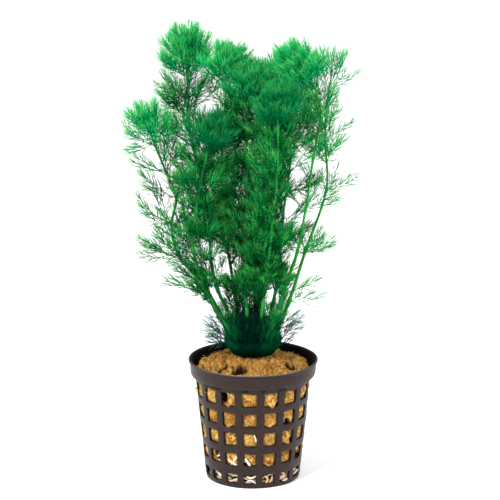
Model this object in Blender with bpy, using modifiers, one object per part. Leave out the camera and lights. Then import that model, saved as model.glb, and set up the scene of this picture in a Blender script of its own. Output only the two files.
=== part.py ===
"""A dwarf ambulia, rooted in stone wool in a small net pot.

Metres, +Z up. The origin is the centre of the pot's underside, on the surface that it stands on.
-Y is the front.
"""

import math
import random

import bmesh
import bpy
from mathutils import Matrix, Vector, noise
from mathutils.bvhtree import BVHTree

NAME = "potted_dwarf_ambulia"
GAP = 0.0003

# Net pot
POT_HEIGHT = 0.052
POT_WALL = 0.001
BASE_RADIUS = 0.020
NECK_RADIUS = 0.0246
NECK_HEIGHT = 0.0446
BAND_LOW_RADIUS = 0.0266
BAND_LOW_HEIGHT = 0.0458
BAND_TOP_RADIUS = 0.0269
LIP_RADIUS = 0.0275
LIP_HEIGHT = 0.0012
WINDOW_ROWS = [(0.0022, 0.0064), (0.0104, 0.0158), (0.0191, 0.0251), (0.0280, 0.0341), (0.0370, 0.0431)]
WINDOW_COLUMNS = 16
WINDOW_ANGLE = math.radians(15.0)
RIB_ANGLE = 2 * math.pi / WINDOW_COLUMNS - WINDOW_ANGLE
FRONT_WINDOW = math.radians(-93.5)
SLOT_OUTER = 0.017
SLOT_INNER = 0.009

# Stone wool and root mat
WOOL_FLOOR = 0.0105
WOOL_EDGE = 0.0482
WOOL_TOP = 0.0548
WOOL_CLEARANCE = 0.0005
WOOL_BULGE = 0.0237
WOOL_BULGE_HEIGHT = 0.0466
WOOL_ROUNDING = 0.0012
WOOL_BELTS = (0.022, 0.033)
WOOL_DOME_STEPS = (0.75, 0.45, 0.2, 0)
LUMP_DEPTH = 0.0005
LUMPS_PER_METRE = 180
ROOT_FLOOR = POT_WALL + 0.0004
ROOT_TOP = WOOL_FLOOR - GAP
ROOT_BELTS = (0.003, 0.006, 0.009)
ROOT_ROUNDING = 0.0012
PLUG_SIDES = 20
SMOOTH_ANGLE = math.radians(35)

# Stems
STEM_BASE_RADIUS = 0.0010
STEM_TIP_RADIUS = 0.0007
HOLE_RADIUS = 0.00145
HOLE_FLOOR = 0.0004
HOLE_SIDES = 8

# Whorls and crowns
NODE_WALL = 0.0006
NODE_HEIGHT = 0.0016
LEAF_WIDTH_SHARE = 0.46
LEAF_BELLY = 0.55
LEAF_THICKNESS = 0.0009
LEAF_LEAN = math.radians(56)
LEAF_LIFT = math.radians(14)
LEAN_SPREAD = math.radians(7)
LENGTH_SPREAD = (0.9, 1.05)
LEAF_SHRINK = [1.0, 0.88, 0.76, 0.64, 0.52, 0.40]
# The share of the room between its neighbours' middles that a leaf's width may take
SECTOR_SHARE = 0.94
OUTER_STEMS = (1, 2, 9, 10)
OUTER_LEAVES = 6
INNER_LEAVES = 5
WHORL_TURN = math.radians(37)
CROWN_RADIUS = 0.0016
CROWN_LEAVES = 6
CROWN_STEP = 0.0052
CROWN_TAPER = 0.8
CROWN_BAND_TAPER = 0.95
# From the foot of a crown to its top: the share of the leaf length and of the lean
CROWN_LENGTHS = (1.1, 0.8)
CROWN_LEANS = (1.1, 0.5)
TUFT_RADIUS = 0.0083
TUFT_LEAVES = 12
TUFT_LENGTH = 0.014
TUFT_LEAN = math.radians(12)
TUFT_FLARE = math.radians(46)

# Each stem's route, chosen by hand from its buried end to the seat of its crown. The fourth value is
# the length of the leaves that grow there, and 0 marks a bare point.
STEMS = [
    [(-0.0060, -0.0010, 0.0470, 0), (-0.0068, -0.0013, 0.0570, 0), (-0.0200, -0.0030, 0.0835, 0.018),
     (-0.0310, -0.0050, 0.0980, 0.020), (-0.0340, -0.0060, 0.1115, 0.020), (-0.0320, -0.0060, 0.1235, 0.019),
     (-0.0365, -0.0065, 0.1350, 0.017), (-0.0405, -0.0075, 0.1455, 0.018)],
    [(-0.0035, 0.0035, 0.0470, 0), (-0.0045, 0.0035, 0.0580, 0), (-0.0078, 0.0045, 0.0800, 0.016),
     (-0.0115, 0.0070, 0.1000, 0.018), (-0.0190, 0.0100, 0.1210, 0.018), (-0.0255, 0.0125, 0.1420, 0.018),
     (-0.0273, 0.0130, 0.1580, 0.017), (-0.0275, 0.0130, 0.1700, 0.018)],
    [(-0.0040, -0.0045, 0.0470, 0), (-0.0052, -0.0048, 0.0570, 0), (-0.0200, -0.0100, 0.0850, 0.017),
     (-0.0250, -0.0145, 0.1060, 0.018), (-0.0225, -0.0170, 0.1270, 0.018), (-0.0190, -0.0180, 0.1440, 0.018)],
    [(-0.0020, 0.0005, 0.0470, 0), (-0.0030, 0.0003, 0.0580, 0), (-0.0155, -0.0010, 0.0840, 0.016),
     (-0.0180, -0.0020, 0.1120, 0.018), (-0.0130, -0.0020, 0.1410, 0.018), (-0.0112, -0.0020, 0.1690, 0.018)],
    [(-0.0005, -0.0050, 0.0470, 0), (-0.0015, -0.0055, 0.0580, 0), (-0.0030, -0.0080, 0.0850, 0.016),
     (-0.0027, -0.0105, 0.1110, 0.018), (-0.0027, -0.0120, 0.1370, 0.018), (-0.0028, -0.0120, 0.1615, 0.018)],
    [(0.0005, 0.0055, 0.0470, 0), (0.0005, 0.0060, 0.0580, 0), (0.0030, 0.0140, 0.0900, 0.017),
     (0.0055, 0.0200, 0.1150, 0.018), (0.0045, 0.0220, 0.1380, 0.018), (0.0038, 0.0220, 0.1570, 0.018)],
    [(0.0020, -0.0020, 0.0470, 0), (0.0023, -0.0030, 0.0580, 0), (0.0050, -0.0105, 0.0870, 0.016),
     (0.0080, -0.0185, 0.1130, 0.018), (0.0100, -0.0225, 0.1370, 0.018), (0.0102, -0.0240, 0.1570, 0.018)],
    [(0.0035, 0.0030, 0.0470, 0), (0.0045, 0.0030, 0.0580, 0), (0.0102, 0.0040, 0.0840, 0.016),
     (0.0125, 0.0070, 0.1110, 0.018), (0.0158, 0.0080, 0.1370, 0.018), (0.0148, 0.0080, 0.1630, 0.018)],
    [(0.0045, -0.0040, 0.0470, 0), (0.0053, -0.0046, 0.0570, 0), (0.0130, -0.0060, 0.0830, 0.016),
     (0.0185, -0.0070, 0.1000, 0.016), (0.0220, -0.0070, 0.1190, 0.017), (0.0250, -0.0070, 0.1400, 0.017),
     (0.0280, -0.0070, 0.1580, 0), (0.0260, -0.0070, 0.1690, 0.018)],
    [(0.0060, 0.0000, 0.0470, 0), (0.0070, -0.0003, 0.0570, 0), (0.0153, 0.0030, 0.0760, 0.015),
     (0.0222, 0.0070, 0.0970, 0.015), (0.0310, 0.0120, 0.1225, 0.016), (0.0304, 0.0135, 0.1450, 0.015),
     (0.0318, 0.0140, 0.1650, 0.016)],
]
CROWN_AXES = {1: (-0.30, -0.05, 1), 9: (-0.7, 0, 1), 10: (0.20, 0, 1)}
CROWN_TIERS = {2: 3, 9: 3}

# Colours
POT_BROWN = (0.045, 0.033, 0.032)
WOOL_TAN = (0.48, 0.32, 0.10)
ROOT_CREAM = (0.62, 0.48, 0.27)
STEM_GREEN = (0.10, 0.30, 0.03)
LEAF_GREEN = (0.01, 0.17, 0.05)
TUFT_GREEN = (0.004, 0.05, 0.035)


def clear_scene():
    for old in list(bpy.data.objects):
        bpy.data.objects.remove(old, do_unlink=True)


def new_collection(name):
    collection = bpy.data.collections.new(name)
    bpy.context.scene.collection.children.link(collection)
    return collection


def make_material(name, colour, roughness):
    material = bpy.data.materials.new(name)
    material.use_nodes = True
    shader = material.node_tree.nodes["Principled BSDF"]
    shader.inputs["Base Color"].default_value = (*colour, 1)
    shader.inputs["Roughness"].default_value = roughness
    shader.inputs["Metallic"].default_value = 0
    return material


def add_object(name, data, collection, colour, roughness, parent=None):
    obj = bpy.data.objects.new(name, data)
    obj.data.materials.append(make_material(name, colour, roughness))
    obj.parent = parent
    collection.objects.link(obj)
    return obj


def mesh_from(bm, name):
    mesh = bpy.data.meshes.new(name)
    bm.to_mesh(mesh)
    bm.free()
    return mesh


def shade_round(obj):
    obj.data.shade_smooth()
    obj.data.set_sharp_from_angle(angle=SMOOTH_ANGLE)


def draw_profile(bm, profile, start):
    """Joins the profile's points, given as radius and height, by edges in the half plane at angle start."""
    points = [bm.verts.new((r * math.cos(start), r * math.sin(start), z)) for r, z in profile]
    edges = [bm.edges.new(pair) for pair in zip(points, points[1:])]
    return points + edges


def turn(bm, profile, angle):
    """Turns the profile about the Z axis by one step, and gives the profile at the far side."""
    return bmesh.ops.spin(bm, geom=profile, cent=(0, 0, 0), axis=(0, 0, 1), angle=angle, steps=1)["geom_last"]


def pot_profile():
    """The pot's outer face, from the slotted floor's centre disc up to the lip."""
    profile = [(SLOT_INNER, 0), (SLOT_OUTER, 0), (BASE_RADIUS, 0)]
    for bottom, top in WINDOW_ROWS:
        profile += [(wall_radius(bottom), bottom), (wall_radius(top), top)]
    lip = POT_HEIGHT - LIP_HEIGHT
    profile += [(NECK_RADIUS, NECK_HEIGHT), (BAND_LOW_RADIUS, BAND_LOW_HEIGHT), (BAND_TOP_RADIUS, lip)]
    return profile + [(LIP_RADIUS, lip + LIP_HEIGHT / 3), (LIP_RADIUS, POT_HEIGHT)]


def wall_radius(height):
    """The outer radius of the pot's tapered wall."""
    return BASE_RADIUS + (NECK_RADIUS - BASE_RADIUS) * height / NECK_HEIGHT


def is_opening(face):
    """True for a face that lies in a window of the wall or in a slot of the floor."""
    middle = face.calc_center_median()
    turned = math.atan2(middle.y, middle.x) - FRONT_WINDOW + WINDOW_ANGLE / 2
    if turned % (WINDOW_ANGLE + RIB_ANGLE) > WINDOW_ANGLE:
        return False
    if middle.z < GAP:
        return SLOT_INNER < middle.xy.length < SLOT_OUTER
    return any(bottom < middle.z < top for bottom, top in WINDOW_ROWS)


def make_pot(collection):
    bm = bmesh.new()
    geometry = draw_profile(bm, pot_profile(), FRONT_WINDOW - WINDOW_ANGLE / 2)
    for _ in range(WINDOW_COLUMNS):
        geometry = turn(bm, turn(bm, geometry, WINDOW_ANGLE), RIB_ANGLE)
    bmesh.ops.remove_doubles(bm, verts=bm.verts, dist=GAP / 10)
    disc = [e for e in bm.edges if e.is_boundary and max(v.co.xy.length for v in e.verts) < SLOT_INNER + GAP]
    bmesh.ops.contextual_create(bm, geom=disc)
    bmesh.ops.delete(bm, geom=[face for face in bm.faces if is_opening(face)], context="FACES")
    bmesh.ops.recalc_face_normals(bm, faces=bm.faces)
    if min(bm.faces, key=lambda f: f.calc_center_median().z).normal.z > 0:
        bmesh.ops.reverse_faces(bm, faces=bm.faces)
    pot = add_object("net_pot", mesh_from(bm, "net_pot"), collection, POT_BROWN, 0.45)
    shell = pot.modifiers.new("wall", "SOLIDIFY")
    shell.thickness = POT_WALL
    shell.offset = -1
    shell.use_even_offset = True
    return pot


def turn_plug(name, profile):
    """A lumpy closed plug turned from a profile that starts and ends on the Z axis."""
    bm = bmesh.new()
    bmesh.ops.spin(bm, geom=draw_profile(bm, profile, 0), cent=(0, 0, 0), axis=(0, 0, 1),
                   angle=2 * math.pi, steps=PLUG_SIDES)
    bmesh.ops.remove_doubles(bm, verts=bm.verts, dist=GAP / 10)
    bmesh.ops.recalc_face_normals(bm, faces=bm.faces)
    for vert in bm.verts:
        lump = noise.noise(vert.co * LUMPS_PER_METRE) * LUMP_DEPTH
        vert.co.xy *= 1 - abs(lump) / max(vert.co.xy.length, LUMP_DEPTH)
        vert.co.z += lump if vert.co.z > WOOL_EDGE else 0
    return mesh_from(bm, name)


def plug_radius(height):
    """The radius of what fills the pot, just clear of the wall."""
    return wall_radius(height) - POT_WALL - WOOL_CLEARANCE


def make_stem_holes(cutters):
    """One cutter for the holes in the wool that the stems' buried ends stand in."""
    bm = bmesh.new()
    for route in STEMS:
        low, high = Vector(route[0][:3]), Vector(route[1][:3])
        along = (high - low).normalized()
        depth = (high - low).length + HOLE_FLOOR
        turned = along.to_track_quat("Z", "Y").to_matrix().to_4x4()
        bmesh.ops.create_cone(bm, cap_ends=True, segments=HOLE_SIDES, radius1=HOLE_RADIUS,
                              radius2=HOLE_RADIUS, depth=depth,
                              matrix=Matrix.Translation(high - along * depth / 2) @ turned)
    cutter = bpy.data.objects.new("stem_holes", mesh_from(bm, "stem_holes"))
    cutter.hide_render = True
    cutter.display_type = "WIRE"
    cutters.objects.link(cutter)
    return cutter


def make_wool(collection, cutters):
    profile = [(0, WOOL_FLOOR)]
    profile += [(plug_radius(z), z) for z in (WOOL_FLOOR, *WOOL_BELTS, NECK_HEIGHT)]
    profile += [(WOOL_BULGE, WOOL_BULGE_HEIGHT), (WOOL_BULGE - WOOL_ROUNDING, WOOL_EDGE)]
    rise = WOOL_TOP - WOOL_EDGE
    for share in WOOL_DOME_STEPS:
        profile.append((WOOL_BULGE * share, WOOL_EDGE + rise * math.cos(share * math.pi / 2)))
    wool = add_object("rockwool", turn_plug("rockwool", profile), collection, WOOL_TAN, 0.95)
    cut = wool.modifiers.new("stem holes", "BOOLEAN")
    cut.object = make_stem_holes(cutters)
    cut.solver = "EXACT"
    return wool


def make_root_mat(collection):
    profile = [(0, ROOT_FLOOR), (plug_radius(ROOT_FLOOR) - ROOT_ROUNDING, ROOT_FLOOR)]
    profile += [(plug_radius(z), z) for z in ROOT_BELTS]
    profile += [(plug_radius(ROOT_TOP) - ROOT_ROUNDING, ROOT_TOP), (0, ROOT_TOP)]
    return add_object("root_mat", turn_plug("root_mat", profile), collection, ROOT_CREAM, 0.8)


def stem_radius(index, count):
    return STEM_BASE_RADIUS + (STEM_TIP_RADIUS - STEM_BASE_RADIUS) * index / (count - 1)


def make_stem(name, route, collection, parent):
    """A six-sided tapering tube with a point at each node."""
    curve = bpy.data.curves.new(name, "CURVE")
    curve.dimensions = "3D"
    curve.bevel_depth = 1
    curve.bevel_resolution = 1
    curve.use_fill_caps = True
    spline = curve.splines.new("POLY")
    spline.points.add(len(route) - 1)
    foot = Vector(route[0][:3])
    for index, point in enumerate(route):
        spline.points[index].co = (*(Vector(point[:3]) - foot), 1)
        spline.points[index].radius = stem_radius(index, len(route))
    stem = add_object(name, curve, collection, STEM_GREEN, 0.45, parent)
    stem.location = foot
    return stem


def world_tree(obj):
    """A search tree of the finished object's faces, in world space."""
    finished = obj.evaluated_get(bpy.context.evaluated_depsgraph_get())
    mesh = finished.to_mesh()
    points = [obj.matrix_world @ vert.co for vert in mesh.vertices]
    tree = BVHTree.FromPolygons(points, [tuple(face.vertices) for face in mesh.polygons])
    finished.to_mesh_clear()
    return tree


class Leaf:
    """A leaf's kite-shaped outline: it leans out to its widest place, its belly, and turns up to its tip."""

    def __init__(self, foot, angle, lean, length, sides):
        outward = Vector((math.cos(angle), math.sin(angle), 0))
        up = Vector((0, 0, 1))
        rise = outward * math.sin(lean) + up * math.cos(lean)
        turned = outward * math.sin(lean - LEAF_LIFT) + up * math.cos(lean - LEAF_LIFT)
        self.foot = foot
        self.across = Vector((-math.sin(angle), math.cos(angle), 0))
        self.upper = up * math.sin(lean) - outward * math.cos(lean)
        self.belly = foot + rise * length * LEAF_BELLY
        self.tip = self.belly + turned * length * (1 - LEAF_BELLY)
        room = 2 * (self.belly.xy.length - LEAF_THICKNESS / 2) * math.tan(math.pi / sides)
        self.width = min(length * LEAF_WIDTH_SHARE, room * SECTOR_SHARE)

    def solid(self, root_width, root_height, extra):
        """The leaf's points and faces, thickened all round by extra."""
        points = []
        for middle, upper, width, height in (
                (self.foot, Vector((0, 0, 1)), root_width, root_height),
                (self.belly, self.upper, self.width, LEAF_THICKNESS)):
            aside = self.across * (width / 2 + extra)
            above = upper * (height / 2 + extra)
            for side, face in ((-1, -1), (1, -1), (1, 1), (-1, 1)):
                points.append(middle + aside * side + above * face)
        points.append(self.tip + (self.tip - self.belly).normalized() * 2 * extra)
        faces = [(i, (i + 1) % 4, 4 + (i + 1) % 4, 4 + i) for i in range(4)]
        return points, faces + [(4 + i, 4 + (i + 1) % 4, 8) for i in range(4)]


def grow_leaf(bm, root, leaf):
    """Draws one side face of a node out to the leaf's belly, and from there to its tip."""
    middle = root.calc_center_median()
    belly = bmesh.ops.extrude_discrete_faces(bm, faces=[root])["faces"][0]
    for vert in belly.verts:
        side = 1 if (vert.co - middle).dot(leaf.across) > 0 else -1
        face = 1 if vert.co.z > middle.z else -1
        vert.co = leaf.belly + leaf.across * side * leaf.width / 2 + leaf.upper * face * LEAF_THICKNESS / 2
    tip = bmesh.ops.extrude_discrete_faces(bm, faces=[belly])["faces"][0]
    bmesh.ops.pointmerge(bm, verts=tip.verts, merge_co=leaf.tip)


class Shrub:
    """Keeps every solid's search tree, so that each new leaf is as long as the room round it allows."""

    def __init__(self):
        self.trees = {}

    def add(self, obj):
        self.trees[obj.name] = world_tree(obj)

    def has_room(self, own_name, points, faces):
        tree = BVHTree.FromPolygons(points, faces)
        return not any(tree.overlap(other) for name, other in self.trees.items() if name != own_name)

    def fit_leaf(self, obj, foot, angle, lean, length, sides, root_width, root_height):
        for share in LEAF_SHRINK:
            leaf = Leaf(foot, angle, lean, length * share, sides)
            points, faces = leaf.solid(root_width, root_height, GAP)
            if self.has_room(obj.name, [obj.matrix_world @ p for p in points], faces):
                return leaf
        return None


def side_faces(bm, low, high):
    """The outer side faces of a node between two heights, in order round the Z axis."""
    faces = [f for f in bm.faces if low < f.calc_center_median().z < high and abs(f.normal.z) < 0.5
             and f.normal.dot(f.calc_center_median()) > 0]
    return sorted(faces, key=lambda f: math.atan2(f.calc_center_median().y, f.calc_center_median().x))


def node_ring(sides, inner, height):
    """The collar round a stem that a whorl's leaves grow from."""
    outer = inner + NODE_WALL
    bm = bmesh.new()
    bmesh.ops.create_cone(bm, cap_ends=True, segments=sides, radius1=outer, radius2=outer, depth=height)
    caps = [f for f in bm.faces if len(f.verts) == sides and abs(f.normal.z) > 0.9]
    bmesh.ops.inset_individual(bm, faces=caps, thickness=NODE_WALL * math.cos(math.pi / sides))
    edges = [e for cap in caps for e in cap.edges]
    bmesh.ops.delete(bm, geom=caps, context="FACES_ONLY")
    bmesh.ops.bridge_loops(bm, edges=edges)
    bmesh.ops.recalc_face_normals(bm, faces=bm.faces)
    return bm


def crown_spike(tiers):
    """The short tapering shoot tip, with a band of side faces for each of its whorls."""
    bm = bmesh.new()
    bmesh.ops.create_cone(bm, cap_ends=True, segments=CROWN_LEAVES, radius1=CROWN_RADIUS,
                          radius2=CROWN_RADIUS, depth=NODE_HEIGHT,
                          matrix=Matrix.Translation((0, 0, GAP + NODE_HEIGHT / 2)))
    top = max(bm.faces, key=lambda f: f.calc_center_median().z)
    for _ in range(tiers - 1):
        for rise, taper in ((CROWN_STEP - NODE_HEIGHT, CROWN_TAPER), (NODE_HEIGHT, CROWN_BAND_TAPER)):
            top = bmesh.ops.extrude_discrete_faces(bm, faces=[top])["faces"][0]
            for vert in top.verts:
                vert.co.xy *= taper
                vert.co.z += rise
    middle = top.calc_center_median()
    top = bmesh.ops.extrude_discrete_faces(bm, faces=[top])["faces"][0]
    bmesh.ops.pointmerge(bm, verts=top.verts, merge_co=middle + Vector((0, 0, CROWN_STEP)))
    bmesh.ops.recalc_face_normals(bm, faces=bm.faces)
    return bm


def crown_bands(tiers, length):
    """Each tier's lower and upper height, leaf length and lean: the higher, the shorter and steeper."""
    bands = []
    for tier in range(tiers):
        low = GAP + tier * CROWN_STEP
        rise = (tier + 1) / tiers
        longer, leaning = (foot + (top - foot) * rise for foot, top in (CROWN_LENGTHS, CROWN_LEANS))
        bands.append((low, low + NODE_HEIGHT, length * longer, LEAF_LEAN * leaning))
    return bands


def grow_leaves(shrub, obj, bands, chance):
    """Grows a leaf from each side face of each band, given as its heights, leaf length and lean."""
    bm = bmesh.new()
    bm.from_mesh(obj.data)
    for low, high, length, lean in bands:
        roots = side_faces(bm, low, high)
        for root in roots:
            foot = root.calc_center_median()
            angle = math.atan2(foot.y, foot.x)
            width = max((a.co.xy - b.co.xy).length for a in root.verts for b in root.verts)
            own_lean = lean + chance.uniform(-1, 1) * LEAN_SPREAD
            if obj.name == "basal_tuft":
                own_lean += TUFT_FLARE * math.cos(angle) ** 2
            own_length = length * chance.uniform(*LENGTH_SPREAD)
            leaf = shrub.fit_leaf(obj, foot, angle, own_lean, own_length, len(roots), width, high - low)
            if leaf:
                grow_leaf(bm, root, leaf)
    bm.to_mesh(obj.data)
    bm.free()
    obj.data.update()
    shrub.add(obj)


def place_on(stem, obj, point, axis, turned):
    """Seats a whorl or crown on its stem, with its own Z along the stem and turned about it."""
    obj.parent = stem
    obj.location = point - stem.location
    obj.rotation_mode = "QUATERNION"
    obj.rotation_quaternion = axis.to_track_quat("Z", "Y") @ Matrix.Rotation(turned, 3, "Z").to_quaternion()


def make_crown(number, stem, route, collection):
    tiers = CROWN_TIERS.get(number, 2)
    spike = mesh_from(crown_spike(tiers), "crown")
    crown = add_object(f"{stem.name}_crown", spike, collection, LEAF_GREEN, 0.5)
    seat = Vector(route[-1][:3])
    axis = Vector(CROWN_AXES.get(number, seat - Vector(route[-2][:3])))
    place_on(stem, crown, seat, axis, number)
    return crown, crown_bands(tiers, route[-1][3])


def make_whorl(number, count, index, stem, route, collection):
    below, here, above = (Vector(point[:3]) for point in route[index - 1:index + 2])
    sides = OUTER_LEAVES if number in OUTER_STEMS else INNER_LEAVES
    inner = (stem_radius(index, len(route)) + GAP) / math.cos(math.pi / sides)
    ring = mesh_from(node_ring(sides, inner, NODE_HEIGHT), "whorl")
    whorl = add_object(f"{stem.name}_whorl_{count}", ring, collection, LEAF_GREEN, 0.5)
    axis = (here - below).normalized() + (above - here).normalized()
    place_on(stem, whorl, here, axis, index * WHORL_TURN + number)
    return whorl, [(-NODE_HEIGHT / 2, NODE_HEIGHT / 2, route[index][3], LEAF_LEAN)]


def make_tuft(collection, parent):
    ring = mesh_from(node_ring(TUFT_LEAVES, TUFT_RADIUS, NODE_HEIGHT), "tuft")
    tuft = add_object("basal_tuft", ring, collection, TUFT_GREEN, 0.6, parent)
    tuft.location.z = WOOL_TOP + NODE_HEIGHT / 2 + GAP
    return tuft, [(-NODE_HEIGHT / 2, NODE_HEIGHT / 2, TUFT_LENGTH, TUFT_LEAN)]


def main():
    clear_scene()
    collection = new_collection(NAME)
    centre = bpy.data.objects.new(NAME, None)
    collection.objects.link(centre)

    cutters = new_collection("cutters")
    rigid = [make_pot(collection), make_wool(collection, cutters), make_root_mat(collection)]
    for obj in rigid:
        shade_round(obj)
        obj.parent = centre
    growing = [make_tuft(collection, centre)]
    for number, route in enumerate(STEMS, 1):
        stem = make_stem(f"stem_{number:02d}", route, collection, centre)
        rigid.append(stem)
        leafy = [index for index, point in enumerate(route[:-1]) if point[3]]
        for count, index in enumerate(leafy, 1):
            growing.append(make_whorl(number, count, index, stem, route, collection))
        growing.append(make_crown(number, stem, route, collection))

    bpy.context.view_layer.update()
    shrub = Shrub()
    for obj in rigid + [obj for obj, _ in growing]:
        shrub.add(obj)
    chance = random.Random(4)
    for obj, bands in sorted(growing, key=lambda item: -item[0].matrix_world.translation.z):
        grow_leaves(shrub, obj, bands, chance)


main()
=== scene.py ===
# %% [markdown]
# # A potted dwarf ambulia
# Dwarf ambulia is an aquarium plant. It is sold as a bunch of soft stems, pushed into a plug of stone
# wool inside a small net pot. Along each stem sit whorls, which are rings of leaves that all leave the
# stem at one height, and each leaf is divided into fine green threads.
#
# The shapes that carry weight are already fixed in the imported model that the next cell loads. This
# notebook dresses that model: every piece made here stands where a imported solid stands.

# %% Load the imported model
import math
import random

import bmesh
import bpy
import numpy as np
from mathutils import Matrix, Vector, noise


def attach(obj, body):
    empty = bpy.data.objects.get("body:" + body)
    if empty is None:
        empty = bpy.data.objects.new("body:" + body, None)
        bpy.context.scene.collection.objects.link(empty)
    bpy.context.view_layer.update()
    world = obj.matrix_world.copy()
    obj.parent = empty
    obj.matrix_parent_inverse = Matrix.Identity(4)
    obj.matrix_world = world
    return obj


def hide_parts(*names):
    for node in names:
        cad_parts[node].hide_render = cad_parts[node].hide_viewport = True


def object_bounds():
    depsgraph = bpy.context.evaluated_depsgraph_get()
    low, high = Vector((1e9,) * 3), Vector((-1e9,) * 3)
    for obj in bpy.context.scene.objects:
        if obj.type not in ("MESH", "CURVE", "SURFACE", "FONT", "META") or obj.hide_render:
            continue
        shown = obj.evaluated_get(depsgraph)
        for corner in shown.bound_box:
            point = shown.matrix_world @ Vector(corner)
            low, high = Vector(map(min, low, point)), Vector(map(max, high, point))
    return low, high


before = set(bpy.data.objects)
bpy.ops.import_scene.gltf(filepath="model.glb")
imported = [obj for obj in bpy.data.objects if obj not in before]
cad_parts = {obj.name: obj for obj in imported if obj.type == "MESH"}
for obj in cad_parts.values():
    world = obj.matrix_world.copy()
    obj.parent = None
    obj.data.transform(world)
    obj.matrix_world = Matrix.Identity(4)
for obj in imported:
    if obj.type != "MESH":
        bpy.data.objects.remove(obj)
packed_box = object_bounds()
MM = 0.001
print(len(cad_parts), "packed solids, box in mm:",
      [round(x / MM, 1) for x in packed_box[1] - packed_box[0]])

# %% [markdown]
# ## The camera
# The photograph was taken from a little above, with a long lens, so upright lines stay almost upright.
# A short lens close by would also fill the picture, but it would spread the stems and deepen the oval of
# the rim. So the camera stands well back with a long lens, and a small shift slides the picture into
# place without turning the camera.

# %% Place the camera
CAMERA_DISTANCE, CAMERA_HEIGHT, CAMERA_PITCH = 1.2, 0.4029, math.radians(14.1667)

bpy.ops.object.camera_add(location=(0, -CAMERA_DISTANCE, CAMERA_HEIGHT),
                          rotation=(math.pi / 2 - CAMERA_PITCH, 0, 0))
camera = bpy.context.object
camera.name = "photo_camera"
camera.data.sensor_width = 36
camera.data.lens = 211.666
camera.data.shift_x = -0.006
camera.data.shift_y = -0.00362
camera.data.clip_start = 0.01
bpy.context.scene.camera = camera
print("camera at", [round(x, 3) for x in camera.location])

# %% [markdown]
# ## Colours and small helpers
# Colours are easiest to pick as the 0 to 255 values of a picture, but shaders count in linear light, so
# one helper turns the first into the second. The other helpers clear the selection, shade a mesh
# smoothly, keep a number for each of its points, and put a finished piece into the model.

# %% Helpers
def picked(red, green, blue):
    """A colour picked as 0 to 255 values, in the linear values that shaders use."""
    linear = [c / 3294.6 if c < 10.3 else ((c / 255 + 0.055) / 1.055) ** 2.4 for c in (red, green, blue)]
    return (*linear, 1)


def select_only(*objects):
    bpy.ops.object.select_all(action="DESELECT")
    for obj in objects:
        obj.select_set(True)
    if objects:
        bpy.context.view_layer.objects.active = objects[0]


def clear_picks(obj):
    """Deselects every point, edge and face of a mesh, and leaves it in object mode."""
    bpy.ops.object.mode_set(mode="OBJECT")
    for group in (obj.data.vertices, obj.data.edges, obj.data.polygons):
        group.foreach_set("select", [False] * len(group))


def apply_modifiers(obj):
    select_only(obj)
    for modifier in list(obj.modifiers):
        bpy.ops.object.modifier_apply(modifier=modifier.name)


def shade_smoothly(obj):
    select_only(obj)
    bpy.ops.object.shade_smooth()


print("black and white are", picked(0, 0, 0)[:3], "and", picked(255, 255, 255)[:3])


# %% Finish a piece
def mark_points(mesh, label, values):
    """Keeps a number for each point of a mesh as an attribute, which a material can read."""
    mesh.attributes.new(label, "FLOAT", "POINT").data.foreach_set("value", values)


def finish_piece(obj, name, slot, material, *replaced):
    """Names a finished piece, gives it its material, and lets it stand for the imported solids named."""
    obj.name = obj.data.name = name
    obj.data.materials.clear()
    obj.data.materials.append(material)
    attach(obj, "root")
    if replaced:
        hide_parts(*replaced)
    print(name, len(obj.data.polygons), "faces")
    return obj


select_only()
print("pieces can stand for", len(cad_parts), "packed solids")

# %% [markdown]
# ## Floor and light
# A studio picture on white has a pale floor that runs out of the picture on all sides. A curved backdrop
# would do as well, but a large plane with a faint glow of its own needs no shaping and shows no edge.
# One large soft lamp from the upper left gives the leaves a bright and a dark side, a weak one from the
# right lifts the shadows, and the white sky fills the rest.

# %% Make the floor
FLOOR_SIZE, FLOOR_GREY, FLOOR_GLOW, SKY_STRENGTH = 16, 0.95, 0.28, 0.78
WHITE = (1, 1, 1, 1)


def new_material(name, roughness):
    material = bpy.data.materials.new(name)
    material.use_nodes = True
    shader = material.node_tree.nodes["Principled BSDF"]
    shader.inputs["Roughness"].default_value = roughness
    return material, material.node_tree, shader


bpy.ops.mesh.primitive_plane_add(size=FLOOR_SIZE)
floor = bpy.context.object
floor.name = "floor"
floor_paint, _, floor_shader = new_material("pale_floor", 0.9)
floor_shader.inputs["Base Color"].default_value = (FLOOR_GREY, FLOOR_GREY, FLOOR_GREY, 1)
floor_shader.inputs["Emission Color"].default_value = WHITE
floor_shader.inputs["Emission Strength"].default_value = FLOOR_GLOW
floor.data.materials.append(floor_paint)
print("the floor is", FLOOR_SIZE, "m wide")

# %% Make the sky and the lamps
world = bpy.data.worlds.new("studio")
world.use_nodes = True
sky = world.node_tree.nodes["Background"]
sky.inputs["Color"].default_value = WHITE
sky.inputs["Strength"].default_value = SKY_STRENGTH
bpy.context.scene.world = world
bpy.context.scene.view_settings.view_transform = "Standard"


def add_softbox(name, place, aim, size, power):
    """A square lamp that faces the point aim. Its size is in metres and its power in watts."""
    bpy.ops.object.light_add(type="AREA", location=place)
    lamp = bpy.context.object
    lamp.name = name
    lamp.data.size = size
    lamp.data.energy = power
    lamp.rotation_mode = "QUATERNION"
    lamp.rotation_quaternion = (Vector(aim) - Vector(place)).to_track_quat("-Z", "Y")
    print(name, size, "m wide,", power, "W")


add_softbox("key_softbox", place=(-0.55, -0.65, 0.95), aim=(0, 0, 0.10), size=0.45, power=14)
add_softbox("right_softbox", place=(0.9, -0.5, 0.6), aim=(0, 0, 0.09), size=0.6, power=4)

# %% [markdown]
# ## Shared effects as node groups
# Plastic, wool, roots and leaves are all uneven at some scale. A noise pattern cut to a soft edge gives
# blotches, and the same noise can push the surface up and down as a bump. Each material could have its
# own noise nodes, but it is built once as a node group, which each material places with its own size and
# contrast. A second group makes a mask by height.

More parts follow.
